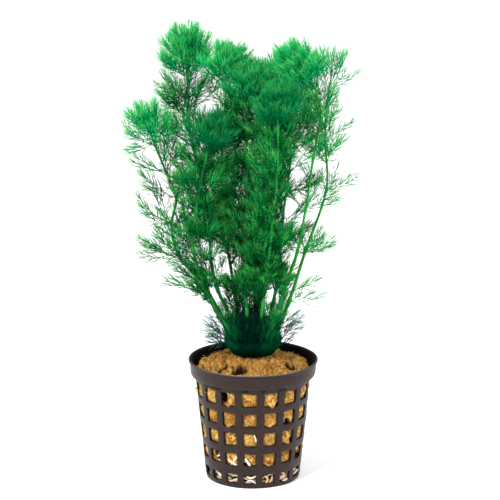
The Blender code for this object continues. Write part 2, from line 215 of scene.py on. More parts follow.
# %% Start a group and add its nodes
def new_group(name, inputs, outputs):
    """An empty node group, with its own input and output nodes. Inputs are (label, kind, value)."""
    group = bpy.data.node_groups.new(name, "ShaderNodeTree")
    for label, kind, value in inputs:
        socket = group.interface.new_socket(label, in_out="INPUT", socket_type="NodeSocket" + kind)
        socket.default_value = value
    for label, kind in outputs:
        group.interface.new_socket(label, in_out="OUTPUT", socket_type="NodeSocket" + kind)
    return group, group.nodes.new("NodeGroupInput"), group.nodes.new("NodeGroupOutput")


def add_node(tree, kind, **values):
    """Adds a shader node. Values named for a property set it, and the others set its input socket."""
    node = tree.nodes.new("ShaderNode" + kind)
    for label, value in values.items():
        if hasattr(node, label):
            setattr(node, label, value)
        else:
            node.inputs[label.replace("_", " ")].default_value = value
    return node


def make_blotches():
    """Soft-edged patches: Size is the patches per metre, Low and High where the noise is cut."""
    group, given, result = new_group(
        "blotches", [("Size", "Float", 300.0), ("Low", "Float", 0.4), ("High", "Float", 0.6),
                     ("Stretch", "Vector", (1, 1, 1))], [("Mask", "Float"), ("Raw", "Float")])
    place = add_node(group, "TexCoord")
    stretched = add_node(group, "VectorMath", operation="MULTIPLY")
    pattern = add_node(group, "TexNoise", Detail=5.0, Roughness=0.6)
    cut = add_node(group, "MapRange", interpolation_type="SMOOTHSTEP")
    link = group.links.new
    link(place.outputs["Object"], stretched.inputs[0])
    link(given.outputs["Stretch"], stretched.inputs[1])
    link(stretched.outputs[0], pattern.inputs["Vector"])
    link(given.outputs["Size"], pattern.inputs["Scale"])
    link(pattern.outputs["Fac"], cut.inputs["Value"])
    link(given.outputs["Low"], cut.inputs["From Min"])
    link(given.outputs["High"], cut.inputs["From Max"])
    link(cut.outputs["Result"], result.inputs["Mask"])
    link(pattern.outputs["Fac"], result.inputs["Raw"])
    return group


blotches_group = make_blotches()
print("the blotches group has", len(blotches_group.nodes), "nodes")


# %% A mask by height
def make_height_mask():
    """A mask that rises from 0 at the height Low to Amount at the height High, both in metres."""
    group, given, result = new_group(
        "height_mask", [("Low", "Float", 0.0), ("High", "Float", 0.1), ("Amount", "Float", 1.0)],
        [("Mask", "Float")])
    place = add_node(group, "TexCoord")
    height = add_node(group, "SeparateXYZ")
    rise = add_node(group, "MapRange")
    link = group.links.new
    link(place.outputs["Object"], height.inputs[0])
    link(height.outputs["Z"], rise.inputs["Value"])
    for label, socket in (("Low", "From Min"), ("High", "From Max"), ("Amount", "To Max")):
        link(given.outputs[label], rise.inputs[socket])
    link(rise.outputs["Result"], result.inputs["Mask"])
    return group


height_mask_group = make_height_mask()
print("the height mask has", len(height_mask_group.nodes), "nodes")


# %% Place groups and wire nodes in a material
def add_group(tree, group, **values):
    """Places a node group in a material or in another group, with its own values."""
    node = tree.nodes.new("ShaderNodeGroup")
    node.node_tree = group
    for label, value in values.items():
        node.inputs[label].default_value = value
    return node


def add_blotches(tree, size, low, high, stretch=(1, 1, 1)):
    return add_group(tree, blotches_group, Size=size, Low=low, High=high, Stretch=stretch)


def add_height_mask(tree, low, high, amount=1.0):
    return add_group(tree, height_mask_group, Low=low, High=high, Amount=amount).outputs["Mask"]


def mix_colours(tree, mask, first, second):
    """Mixes two colours by a mask. Each may be a colour or the output of another node."""
    node = add_node(tree, "Mix", data_type="RGBA")
    for socket, value in ((node.inputs["Factor"], mask), (node.inputs[6], first), (node.inputs[7], second)):
        if isinstance(value, bpy.types.NodeSocket):
            tree.links.new(value, socket)
        else:
            socket.default_value = value
    return node.outputs[2]


def attribute_of(tree, name):
    return add_node(tree, "Attribute", attribute_name=name).outputs["Fac"]


def paint(tree, shader, colour):
    tree.links.new(colour, shader.inputs["Base Color"])


def add_bump(tree, shader, height, distance, strength=1.0):
    """Pushes the surface up and down by a pattern, over distance metres."""
    bump = add_node(tree, "Bump", Distance=distance, Strength=strength)
    tree.links.new(height, bump.inputs["Height"])
    tree.links.new(bump.outputs["Normal"], shader.inputs["Normal"])


print("node groups:", [group.name for group in bpy.data.node_groups])

# %% [markdown]
# ## The net pot
# The pot is one thin moulding of brown plastic: a tapered basket of square windows under a plain band
# with a rolled lip. Its windows could be cut out with booleans, but that leaves ragged faces. Here it is
# drawn as a flat ring whose edge is extruded upwards, one ring for each change in the wall, so that
# every window is a group of whole faces. These are then deleted, the corners of the windows rounded, and
# the sheet gets its wall from Solidify and its soft edges from Bevel.

# %% The pot's measures
WALL = 0.001
POT_TOP = 0.052
BASE_RADIUS, NECK_RADIUS, NECK_HEIGHT = 0.020, 0.0246, 0.0446
WINDOW_ROWS = [(0.0022, 0.0064), (0.0104, 0.0158), (0.0191, 0.0251), (0.0280, 0.0341), (0.0370, 0.0431)]
SEGMENTS = 144
# Window columns in degrees: from one to the next, the width of one, and the middle of the front one
WINDOW_PITCH, WINDOW_WIDTH, FRONT_WINDOW = 22.5, 15.0, -93.5
SLOT_INNER, SLOT_OUTER = 0.009, 0.017


def wall_radius(height):
    return BASE_RADIUS + (NECK_RADIUS - BASE_RADIUS) * height / NECK_HEIGHT


def into_window(x, y):
    """How far round from the edge of its window column a point is, in degrees. Less than
    WINDOW_WIDTH is in the window."""
    return (math.degrees(math.atan2(y, x)) - FRONT_WINDOW + WINDOW_WIDTH / 2) % WINDOW_PITCH


# Each ring is a radius and a height: the base, the window rows, the band and the rolled lip
pot_rings = [(SLOT_INNER, 0), (SLOT_OUTER, 0), (BASE_RADIUS - 0.0006, 0), (BASE_RADIUS - 0.0001, 0.0004)]
for bottom, top in WINDOW_ROWS:
    middle = (bottom + top) / 2
    pot_rings += [(wall_radius(z), z) for z in (bottom, middle, top)]
pot_rings += [(NECK_RADIUS, NECK_HEIGHT), (0.0262, 0.0452), (0.0266, 0.0460), (0.0268, 0.0492),
              (0.0269, 0.0508), (0.0274, 0.0511), (0.0275, 0.0515), (0.0273, POT_TOP)]
print(len(pot_rings), "rings of", SEGMENTS, "points")


# %% Draw the pot as a sheet
def draw_rings(rings, name):
    """Extrudes the edge of a disc from ring to ring, each given as its radius and height."""
    radius, height = rings[0]
    bpy.ops.mesh.primitive_circle_add(vertices=SEGMENTS, radius=radius, fill_type="NGON",
                                      location=(0, 0, height))
    obj = bpy.context.object
    obj.name = name
    bpy.ops.object.transform_apply(location=True, rotation=False, scale=False)
    bpy.ops.object.mode_set(mode="EDIT")
    bpy.ops.mesh.select_mode(type="EDGE")
    bpy.ops.mesh.select_all(action="SELECT")
    bpy.ops.transform.rotate(value=math.radians(1), orient_axis="Z", center_override=(0, 0, 0))
    for (r0, z0), (r1, z1) in zip(rings, rings[1:]):
        bpy.ops.mesh.extrude_edges_move(TRANSFORM_OT_translate={"value": (0, 0, z1 - z0)})
        bpy.ops.transform.resize(value=(r1 / r0, r1 / r0, 1), center_override=(0, 0, z1))
    bpy.ops.mesh.select_all(action="SELECT")
    bpy.ops.mesh.normals_make_consistent(inside=False)
    bpy.ops.object.mode_set(mode="OBJECT")
    return obj


pot = draw_rings(pot_rings, "net_pot_moulding")
spare_turn = into_window(*pot.data.vertices[0].co.xy) % (360 / SEGMENTS)
print("first point is", round(spare_turn, 3), "degrees off a window edge")


# %% Cut the windows
def pick_faces(obj, wanted):
    """Selects the faces whose middle the test wants, and opens edit mode on them."""
    clear_picks(obj)
    for face in obj.data.polygons:
        face.select = wanted(face.center)
    bpy.ops.object.mode_set(mode="EDIT")
    bpy.ops.mesh.select_mode(type="FACE")


def is_opening(middle):
    """Whether a face is part of a window, or of a slot in the base."""
    if into_window(middle.x, middle.y) > WINDOW_WIDTH:
        return False
    if middle.z < 0.0001:
        return SLOT_INNER < middle.xy.length < SLOT_OUTER
    return any(low < middle.z < high for low, high in WINDOW_ROWS)


pick_faces(pot, is_opening)
bpy.ops.mesh.delete(type="FACE")
bpy.ops.object.mode_set(mode="OBJECT")
print(len(pot.data.polygons), "faces are left round the windows")

# %% Round the windows' corners and give the sheet its wall
CORNER_ROUNDING, EDGE_ROUNDING = 0.0003, 0.00016


def is_corner(point):
    across = into_window(point.x, point.y)
    at_side = min(across, abs(across - WINDOW_WIDTH), WINDOW_PITCH - across) < 0.2
    at_row = any(abs(point.z - z) < 0.0001 for row in WINDOW_ROWS for z in row)
    return at_side and at_row


clear_picks(pot)
for vert in pot.data.vertices:
    vert.select = is_corner(vert.co)
print(sum(vert.select for vert in pot.data.vertices), "window corners")
bpy.ops.object.mode_set(mode="EDIT")
bpy.ops.mesh.select_mode(type="VERT")
bpy.ops.mesh.bevel(offset=CORNER_ROUNDING, segments=2, affect="VERTICES")
bpy.ops.object.mode_set(mode="OBJECT")

wall = pot.modifiers.new("wall", "SOLIDIFY")
wall.thickness = WALL
wall.offset = -1
wall.use_even_offset = True
soft_edge = pot.modifiers.new("soft edge", "BEVEL")
soft_edge.width = EDGE_ROUNDING
soft_edge.segments = 2
soft_edge.limit_method = "ANGLE"
soft_edge.angle_limit = math.radians(50)
apply_modifiers(pot)

# %% Bend the moulding a little
WARP, SIDE_WARP_SIZE, ROW_WARP_SIZE = 0.00022, 0.012, 0.006
# Without a seed, noise_vector would give other pushes in each run
noise.seed_set(4)


def uneven(point, size, seed=0):
    """A smooth push in three directions that changes over about the given size."""
    return noise.noise_vector(Vector(point) / size + Vector((seed, seed, seed)))


for vert in pot.data.vertices:
    vert.co.xy += uneven(vert.co, SIDE_WARP_SIZE, 3).xy * WARP
    if 0.002 < vert.co.z < NECK_HEIGHT:
        vert.co.z += uneven(vert.co, ROW_WARP_SIZE, 8).z * WARP
bpy.ops.object.shade_smooth_by_angle(angle=math.radians(35))
print("the wall is bent by up to", round(WARP / MM, 2), "mm")

# %% [markdown]
# ### Its plastic
# The plastic is a dull purple brown, with faint blotches from the moulding and fine specks. Its inner face
# is painted near black as painted shade, and the top of the lip gets a painted highlight, strongest at the
# front. These two follow the form and not a pattern. They could be painted by hand, but here each point
# gets a number, which the material reads.

# %% Pot plastic
PLASTIC_ROUGHNESS, INNER_ROUGHNESS = 0.42, 0.95


def is_inside(point):
    """Whether a point is on the inner face of the wall, the band or the lip."""
    if point.z < NECK_HEIGHT:
        inner_face = wall_radius(point.z) - 0.0006
    else:
        inner_face = 0.0260 if point.z < 0.0507 else 0.0267
    return point.xy.length < inner_face and point.z > 0.0006


def lip_highlight(point):
    """A painted highlight on top of the lip, strongest at the front."""
    on_lip = point.z > POT_TOP - 0.0002 and point.xy.length > 0.0268
    return on_lip * min(1, max(0.15, (-0.006 - point.y) / 0.014))


# These numbers give the inner face its painted shade and the lip its painted highlight
mark_points(pot.data, "inside", [float(is_inside(vert.co)) for vert in pot.data.vertices])
mark_points(pot.data, "lip", [lip_highlight(vert.co) for vert in pot.data.vertices])

pot_plastic, tree, shader = new_material("pot_plastic", PLASTIC_ROUGHNESS)
shader.inputs["Specular IOR Level"].default_value = 0.2
wear = add_blotches(tree, 260, 0.35, 0.75)
fine = add_blotches(tree, 1500, 0.3, 0.7)
plastic = mix_colours(tree, wear.outputs["Mask"], picked(42, 27, 24), picked(57, 40, 36))
speckled = mix_colours(tree, fine.outputs["Mask"], plastic, picked(34, 24, 22))
# Painted highlight: the top of the lip is mixed to a paler brown, most at the front
highlighted_lip = mix_colours(tree, attribute_of(tree, "lip"), speckled, picked(112, 100, 97))
# Painted shade: the inner face is mixed to near black
paint(tree, shader, mix_colours(tree, attribute_of(tree, "inside"), highlighted_lip, picked(5, 4, 4)))
dulled = add_node(tree, "MapRange", To_Min=PLASTIC_ROUGHNESS, To_Max=INNER_ROUGHNESS)
tree.links.new(attribute_of(tree, "inside"), dulled.inputs["Value"])
tree.links.new(dulled.outputs["Result"], shader.inputs["Roughness"])
add_bump(tree, shader, fine.outputs["Raw"], 0.0002, 0.35)
finish_piece(pot, "pot_moulding", "pot_plastic", pot_plastic, "net_pot")

# %% [markdown]
# ### Pips and a scrap of leaf
# Two small pips of plastic stand on the band where the mould was filled, and a torn scrap of yellow leaf
# has caught in a window on the left. Both are too small to be worth sculpting: the pips are two small
# balls sunk in the band, and the scrap is a grid narrowed to a leaf's shape and crumpled by noise.

# %% Pips
PIP_RADIUS, BAND_RADIUS = 0.00045, 0.0268
pips = []
for degrees, height in ((-105.7, 0.0486), (-77.8, 0.0487)):
    turn = math.radians(degrees)
    bpy.ops.mesh.primitive_uv_sphere_add(
        segments=12, ring_count=8, radius=PIP_RADIUS,
        location=(BAND_RADIUS * math.cos(turn), BAND_RADIUS * math.sin(turn), height))
    pips.append(bpy.context.object)
select_only(*pips)
bpy.ops.object.join()
bpy.ops.object.transform_apply(location=True, rotation=True, scale=True)
bpy.ops.object.shade_smooth()
finish_piece(bpy.context.object, "pot_pips", "pot_plastic", pot_plastic)

# %% Scrap of leaf
SCRAP_SIZE, SCRAP_THICKNESS = 0.0026, 0.00015
bpy.ops.mesh.primitive_grid_add(x_subdivisions=8, y_subdivisions=6, size=SCRAP_SIZE)
scrap = bpy.context.object
for vert in scrap.data.vertices:
    narrow = 1 - (vert.co.x / 0.0019) ** 2
    vert.co.y *= 0.6 * narrow
    vert.co.z += 0.0005 * math.sin(vert.co.x * 1500) + uneven(vert.co, 0.001).z * 0.0004
scrap_wall = scrap.modifiers.new("thickness", "SOLIDIFY")
scrap_wall.thickness = SCRAP_THICKNESS
apply_modifiers(scrap)
scrap.rotation_euler = (math.radians(80), math.radians(50), 0)
scrap.location = (-0.0236, -0.0040, 0.0388)
bpy.ops.object.transform_apply(location=True, rotation=True, scale=True)
bpy.ops.object.shade_smooth()
yellow_leaf, tree, shader = new_material("yellow_leaf", 0.5)
veins = add_blotches(tree, 1200, 0.4, 0.6)
paint(tree, shader, mix_colours(tree, veins.outputs["Mask"], picked(168, 196, 30), picked(226, 232, 90)))
finish_piece(scrap, "leaf_scrap", "stone_wool", yellow_leaf)

# %% [markdown]
# ## The stone wool
# Stone wool is a tangle of hair-fine mineral fibres, cut to a plug and pressed into the pot. It swells a
# little into every window, and on top it is torn into lumps and pits. It could be sculpted, or grown
# whole out of fibres, but the first can't be repeated and the second is too heavy. So the plug is drawn
# from rings as the pot was, subdivided, and then each point is moved by noise. A few pits, hollows and
# flaps are listed, because they show in the photograph.

# %% The plug's measures
WOOL_FLOOR, WOOL_EDGE, WOOL_TOP, WOOL_RADIUS = 0.0105, 0.0482, 0.0548, 0.0237
# Pits in the top, each with its place, radius and depth
PITS = [((-0.0055, -0.0155), 0.0033, 0.0064), ((0.0157, -0.0090), 0.0029, 0.0055),
        ((-0.0125, -0.0120), 0.0028, 0.0022), ((-0.0185, 0.0020), 0.0024, 0.0022)]
# Torn hollows in the side, each with its angle in degrees, height, radius and depth
HOLLOWS = [(-122.0, 0.0407, 0.0024, 0.0030), (-63.5, 0.0369, 0.0016, 0.0022),
           (-49.5, 0.0285, 0.0018, 0.0022), (-39.0, 0.0189, 0.0020, 0.0022),
           (-134.0, 0.0145, 0.0034, 0.0034), (-98.0, 0.0112, 0.0018, 0.0020),
           (-30.0, 0.0110, 0.0030, 0.0030), (-15.0, 0.0112, 0.0030, 0.0030),
           (-150.0, 0.0285, 0.0016, 0.0016)]
# Flaps of wool that hang out of a window, each with its angle, the height of its point and its size
FLAPS = [(-116.0, 0.0367, 1.0), (-70.0, 0.0362, 1.0), (-72.0, 0.0266, 0.9), (-117.0, 0.0268, 0.8),
         (-47.0, 0.0178, 0.8), (-70.0, 0.0086, 0.9), (-5.0, 0.0262, 1.0), (-160.0, 0.0172, 0.9),
         (25.0, 0.0265, 0.9), (70.0, 0.0360, 1.0), (115.0, 0.0175, 0.9), (160.0, 0.0365, 0.9)]
# Below this height the plug is behind the wall, and above it lies its free top
SIDE_TOP = 0.0440


def plug_radius(height):
    """The radius of the plug just inside the wall of the pot."""
    return wall_radius(height) - WALL - 0.0003


wool_rings = [(plug_radius(WOOL_FLOOR) * 0.4, WOOL_FLOOR)]
wool_rings += [(plug_radius(z), z) for z in np.arange(WOOL_FLOOR, NECK_HEIGHT, 0.0008)]
wool_rings += [(0.0236, 0.0455), (0.0236, 0.0464), (0.0234, 0.0474), (0.0229, WOOL_EDGE)]
for share in np.arange(0.96, 0.28, -0.04):
    dome = math.cos(share * math.pi / 2)
    wool_rings.append((WOOL_RADIUS * share, WOOL_EDGE + (WOOL_TOP - WOOL_EDGE) * dome))
print(len(wool_rings), "rings for the plug,", len(PITS), "pits,", len(HOLLOWS), "hollows,",
      len(FLAPS), "flaps")


# %% Draw the plug
def close_top(obj):
    """Fills the last ring that draw_rings left open."""
    select_only(obj)
    bpy.ops.object.mode_set(mode="EDIT")
    bpy.ops.mesh.select_mode(type="EDGE")
    bpy.ops.mesh.select_all(action="DESELECT")
    bpy.ops.mesh.select_non_manifold(extend=False, use_wire=False, use_multi_face=False,
                                     use_non_contiguous=False, use_verts=False)
    bpy.ops.mesh.edge_face_add()
    bpy.ops.mesh.select_all(action="SELECT")
    bpy.ops.mesh.normals_make_consistent(inside=False)
    bpy.ops.object.mode_set(mode="OBJECT")


wool = draw_rings(wool_rings, "wool_plug")
finer = wool.modifiers.new("finer", "SUBSURF")
finer.subdivision_type = "SIMPLE"
finer.levels = finer.render_levels = 1
close_top(wool)
apply_modifiers(wool)
print("plug:", len(wool.data.vertices), "points")


# %% Swell its side into the windows
WINDOW_SWELL = 0.0009
# How far a flap of wool stands out and hangs down
FLAP_SWELL, FLAP_DROP = 0.0009, 0.0010


def window_share(point):
    """1 in the middle of a window, falling to 0 at its edge and behind the ribs."""
    across = into_window(point.x, point.y)
    if across > WINDOW_WIDTH:
        return 0.0
    side = math.sin(math.pi * across / WINDOW_WIDTH)
    for low, high in WINDOW_ROWS[1:]:
        if low < point.z < high:
            return (side * math.sin(math.pi * (point.z - low) / (high - low))) ** 0.5
    return 0.0


def turned_from(point, degrees):
    """How far round the pot a point is from an angle, in metres along the wall."""
    away = (math.degrees(math.atan2(point.y, point.x)) - degrees + 180) % 360 - 180
    return math.radians(away) * point.xy.length


def torn_depth(point, clumps):
    """How deep the torn hollows in the side are at a point."""
    torn = 0
    for degrees, height, radius, depth in HOLLOWS:
        away = math.hypot(turned_from(point, degrees), (point.z - height) * 0.8) / radius + 0.35 * clumps
        torn = max(torn, max(0, 1 - away ** 2) * depth)
    return torn


def flap_shares(point):
    """For each flap that a point is in, how far it hangs there, from 0 to 1, and the flap's size."""
    shares = []
    for degrees, height, size in FLAPS:
        above = (point.z - height) / (0.0032 * size)
        beside = abs(turned_from(point, degrees)) / (0.0030 * size)
        if 0.15 < above < 1.2 and beside < above * 0.9:
            hang = min(1, (1.2 - above) * 2) * (1 - beside / (above * 0.9 + 0.01)) ** 0.5
            shares.append((hang, size))
    return shares


def move_side(vert, outward, lumps, clumps, crumbs):
    """Moves a point of the side, and returns how deep it lies in a hollow, from 0 to 1."""
    point = vert.co.copy()
    share = window_share(point)
    swell = WINDOW_SWELL * share * (1 + 0.5 * noise.noise(point * 160 + Vector((7, 0, 0))))
    rough = 0.00025 * (lumps + clumps) + 0.00010 * crumbs
    torn = torn_depth(point, clumps)
    for hang, size in flap_shares(point):
        swell += FLAP_SWELL * hang
        vert.co.z -= FLAP_DROP * hang * size
    vert.co += outward * (swell + rough * (0.4 + share) - torn)
    return min(1, torn / 0.0012 + max(0, -lumps - clumps - 0.75) * 0.7)


print("a point in the middle of a window swells by", round(WINDOW_SWELL / MM, 1), "mm")


# %% Tear its top into lumps and pits
# The radius that is free inside the neck, and inside the band above the height BAND_FOOT
NECK_ROOM, BAND_ROOM, BAND_FOOT = 0.0233, 0.0252, 0.0464


def pit_depth(point, clumps):
    """How deep the pits in the top are at a point."""
    return max(max(0, 1 - ((point.xy - Vector(place)).length / (radius * (1 + 0.5 * clumps))) ** 2) * depth
               for place, radius, depth in PITS)


def move_top(vert, outward, lumps, clumps, crumbs):
    """Moves a point of the top, and returns how deep it lies in a pit or a crease, from 0 to 1."""
    point = vert.co.copy()
    pit = pit_depth(point, clumps)
    top_share = min(1, max(0, (point.z - 0.0450) / 0.003))
    billow = min(1, abs(noise.noise(point * 250)) * 2.6 + max(0, noise.noise(point * 520)) * 0.7)
    height = 0.0021 * (billow - 0.5) + 0.0009 * clumps + 0.0005 * crumbs
    height *= min(1, max(0.3, (point.xy.length - 0.009) / 0.004))
    vert.co.z += (height - pit) * top_share
    nearer = 0.5 - 0.5 * outward.y
    overhang = 0.0013 * nearer * min(1, point.xy.length / 0.02) ** 3
    vert.co += outward * (overhang - max(0, lumps + clumps) * 0.0009)
    room = NECK_ROOM if vert.co.z < BAND_FOOT else BAND_ROOM
    vert.co.xy *= min(1, room / vert.co.xy.length)
    crease = max(0, 0.34 - billow) / 0.34
    return min(1, pit / 0.0016 + crease * (0.55 + clumps + crumbs * 0.5))


pit_depths = []
for vert in wool.data.vertices:
    outward = Vector((vert.co.x, vert.co.y, 0)).normalized()
    lumps, clumps, crumbs = (noise.noise(vert.co * size) for size in (330, 760, 1700))
    move = move_side if vert.co.z < SIDE_TOP else move_top
    pit_depths.append(move(vert, outward, lumps, clumps, crumbs))
# The pit numbers say where pits, creases and torn hollows lie, and the material darkens them as painted shade
mark_points(wool.data, "pit", pit_depths)
shade_smoothly(wool)
print(sum(depth > 0.5 for depth in pit_depths), "points lie deep in a pit")

# %% [markdown]
# ### Its colours
# Wet stone wool is ochre, with pale strands, brown specks and wide tea-coloured stains, and painted shade
# makes it darker in its pits, creases and torn hollows. A photograph of wool could be wrapped round the
# plug, but this way the colours follow the form: four sets of blotches mix the ochres, a height mask
# makes the top a little darker, and the painted shade in the pits comes from the numbers that were kept
# when the points were moved.

# %% Wool material
stone_wool, tree, shader = new_material("stone_wool", 0.95)
shader.inputs["Specular IOR Level"].default_value = 0.1
clumps = add_blotches(tree, 240, 0.42, 0.60)
strands = add_blotches(tree, 900, 0.46, 0.60, (1, 1, 0.7))
specks = add_blotches(tree, 800, 0.56, 0.64)
tan = mix_colours(tree, clumps.outputs["Mask"], picked(150, 96, 32), picked(204, 154, 70))
pale = mix_colours(tree, strands.outputs["Mask"], tan, picked(218, 182, 106))
brown = mix_colours(tree, specks.outputs["Mask"], pale, picked(96, 54, 22))
stains = add_blotches(tree, 120, 0.47, 0.66)
faint = add_node(tree, "MapRange", To_Max=0.75)
tree.links.new(stains.outputs["Mask"], faint.inputs["Value"])
stained = mix_colours(tree, faint.outputs["Result"], brown, picked(122, 66, 24))
# A height mask makes the top a little darker and browner
brown_shift = mix_colours(tree, add_height_mask(tree, 0.0455, 0.048, 0.30), stained, picked(122, 72, 24))
# Painted shade: pits, creases and hollows are mixed to a near-black brown
paint(tree, shader, mix_colours(tree, attribute_of(tree, "pit"), brown_shift, picked(30, 16, 8)))
add_bump(tree, shader, strands.outputs["Raw"], 0.0010, 0.9)
finish_piece(wool, "wool_plug", "stone_wool", stone_wool, "rockwool")

# %% [markdown]
# ## Fine threads from arrays
# Fibres and leaf threads are the same thing at different sizes: a thin tapering rod along a few points.
# Hair curves would be the usual choice, but they have no surface to export. There are tens of thousands
# of rods, so they are made as one mesh from arrays of numbers, which is far faster than drawing each.
# Each rod has three sides and closes in a point, which is all that can be seen of something a third of a
# millimetre thick.

# %% A mesh of many rods
def smooth_mesh(name, corners, faces, values):
    """An object from lists of corner arrays and of faces, with lists of values kept as attributes."""
    mesh = bpy.data.meshes.new(name)
    mesh.from_pydata(np.concatenate(corners).tolist(), [], faces)
    for label, parts in values.items():
        mark_points(mesh, label, np.concatenate(parts))
    mesh.polygons.foreach_set("use_smooth", np.ones(len(mesh.polygons), bool))
    mesh.update()
    obj = bpy.data.objects.new(name, mesh)
    bpy.context.scene.collection.objects.link(obj)
    return obj


def rods_mesh(batches, name):
    """Joins batches of rods. A batch is (points, radii, values): points is rods x stations x 3, radii is
    rods x stations, and values is a dictionary of rods x stations arrays kept as attributes."""
    corners, triangles, kept = [], [], {}
    start = 0
    sides = [2 * math.pi * k / 3 for k in range(3)]
    for points, radii, values in batches:
        rods, stations = radii.shape
        along = np.gradient(points, axis=1)
        along /= np.linalg.norm(along, axis=2, keepdims=True) + 1e-12
        aside = np.cross(along, np.where(np.abs(along[..., 2:]) > 0.9, [1.0, 0, 0], [0, 0, 1.0]))
        aside /= np.linalg.norm(aside, axis=2, keepdims=True) + 1e-12
        above = np.cross(along, aside)
        ring = np.stack([points + (aside * math.cos(turn) + above * math.sin(turn)) * radii[..., None]
                         for turn in sides], axis=2)
        body = ring[:, :-1].reshape(rods, -1, 3)
        corners.append(np.concatenate([body, points[:, -1:]], axis=1).reshape(-1, 3))
        faces = [(2, 1, 0)]
        for s in range(stations - 2):
            for k in range(3):
                a, b = s * 3 + k, s * 3 + (k + 1) % 3
                faces += [(a, b, b + 3), (a, b + 3, a + 3)]
        last = (stations - 2) * 3
        faces += [(last + k, last + (k + 1) % 3, (stations - 1) * 3) for k in range(3)]
        each = (stations - 1) * 3 + 1
        offsets = start + np.arange(rods) * each
        triangles.append((np.array(faces)[None] + offsets[:, None, None]).reshape(-1, 3))
        start += rods * each
        for label, value in values.items():
            spread = np.concatenate([np.repeat(value[:, :-1], 3, axis=1), value[:, -1:]], axis=1)
            kept.setdefault(label, []).append(spread.reshape(-1))
    return smooth_mesh(name, corners, np.concatenate(triangles).tolist(), kept)


print("a rod of 4 points has", 3 * 3 + 1, "corners")


# %% A smooth curve through a few points
def smooth_path(points, count):
    """A path of count points along the smooth curve through the given points."""
    points = np.array(points, float)
    steps = np.linspace(0, len(points) - 1, count)
    padded = np.vstack([2 * points[0] - points[1], points, 2 * points[-1] - points[-2]])
    cell = np.minimum(steps.astype(int), len(points) - 2)
    t = (steps - cell)[:, None]
    a, b, c, d = (padded[cell + k] for k in range(4))
    squared, cubed = 2 * a - 5 * b + 4 * c - d, 3 * b - a - 3 * c + d
    return 0.5 * (2 * b + (c - a) * t + squared * t ** 2 + cubed * t ** 3)


a_bend = smooth_path([(0, 0, 0), (1, 1, 0), (2, 0, 0)], 5)
print("a quarter of the way along a bend:", a_bend[1].round(3).tolist())

# %% [markdown]
# ### Loose fibres on the wool
# Torn stone wool has a fuzz of loose fibres. A bump alone would leave its outline smooth, so a couple of
# thousand real ones are scattered over it, short, bent and from brown to pale. None grow in the pits,
# and those that would pass through the pot are dropped.

# %% Scatter wool fibres
chance = np.random.default_rng(11)


def scatter_fibres(obj, count, length, radius):
    """Short bent rods that start just under random points of a surface."""
    # Blender can number the points differently in each run, so they are first put in order of place
    order = sorted(range(len(pit_depths)), key=lambda k: obj.data.vertices[k].co[:])
    places = np.array([obj.data.vertices[k].co[:] for k in order])
    outward = np.array([obj.data.vertices[k].normal[:] for k in order])
    open_ground = np.flatnonzero(np.array(pit_depths)[order] < 0.25)
    picked_ones = chance.choice(open_ground, count, replace=False)
    foot, out = places[picked_ones], outward[picked_ones]
    drift = chance.normal(size=(count, 3))
    drift -= out * (drift * out).sum(1, keepdims=True) * 0.85
    drift /= np.linalg.norm(drift, axis=1, keepdims=True)
    curl = np.cross(out, drift) * chance.uniform(-0.5, 0.5, (count, 1))
    far = length * chance.uniform(0.5, 1.3, (count, 1))
    stations = [foot - out * 0.0002]
    for share, lift in ((0.35, 0.10), (0.7, 0.14), (1.0, 0.02)):
        stations.append(foot + drift * far * share + out * far * lift + curl * far * share ** 2)
    points = np.stack(stations, axis=1)
    radii = radius * np.array([0.8, 1.0, 0.8, 0.3])[None] * chance.uniform(0.6, 1.3, (count, 1))
    tone = np.repeat(chance.uniform(0, 1, (count, 1)), 4, axis=1)
    return points, radii, {"tone": tone}


def keep_in_pot(batch):
    """Drops the rods that would leave the wool's own place."""
    points, radii, values = batch
    height = points[..., 2]
    reach = np.linalg.norm(points[..., :2], axis=2)
    limit = np.where(height < NECK_HEIGHT, 0.0205 + 0.0046 * height / NECK_HEIGHT, 0.0262)
    fine = (reach < limit).all(1) & (height < 0.0565).all(1)
    return points[fine], radii[fine], {label: value[fine] for label, value in values.items()}


scattered = scatter_fibres(wool, count=2200, length=0.0015, radius=0.00006)
fibres = rods_mesh([keep_in_pot(scattered)], "wool_fibres")
fibre_paint, tree, shader = new_material("wool_fibre", 0.8)
paint(tree, shader, mix_colours(tree, attribute_of(tree, "tone"), picked(120, 74, 28), picked(228, 194, 122)))
finish_piece(fibres, "wool_fibres", "stone_wool", fibre_paint)

# %% [markdown]
# ## The roots
# Under the wool the pot is full of roots: pale, curly and as thick as string, with deep brown shade
# between them. Filling the whole foot with roots would be wasted, as only the outermost are seen. So a
# core, painted in the dark browns of that shade, fills the middle and lets no light through, and the roots
# lie round it.

# %% The dark core
ROOT_FLOOR, ROOT_TOP = 0.0014, 0.0102
core_rings = [(plug_radius(z) - 0.0016, z) for z in np.linspace(ROOT_FLOOR + 0.0003, ROOT_TOP, 9)]
core_rings = [(0.006, ROOT_FLOOR)] + core_rings + [(0.012, ROOT_TOP), (0.004, ROOT_TOP)]
core = draw_rings(core_rings, "root_core")
close_top(core)
for vert in core.data.vertices:
    vert.co.xy *= 1 - 0.05 * abs(noise.noise(vert.co * 500))
shade_smoothly(core)
# The core's dark browns are painted shade: the shade between the roots
root_shade, tree, shader = new_material("root_shade", 0.8)
brown_shift = add_blotches(tree, 600, 0.4, 0.6)
paint(tree, shader, mix_colours(tree, brown_shift.outputs["Mask"], picked(48, 20, 12), picked(104, 58, 30)))
add_bump(tree, shader, brown_shift.outputs["Raw"], 0.001, 0.8)
finish_piece(core, "root_core", "roots", root_shade, "root_mat")

# %% [markdown]
# ### The roots round the core
# Each root wanders round just inside the wall and slowly climbs or falls, as a root does when it meets a
# wall. Most are left to chance. Those that show in the photograph's windows are placed by their angle and
# height, because they are what the eye compares. Roots are thick enough to need round tubes.

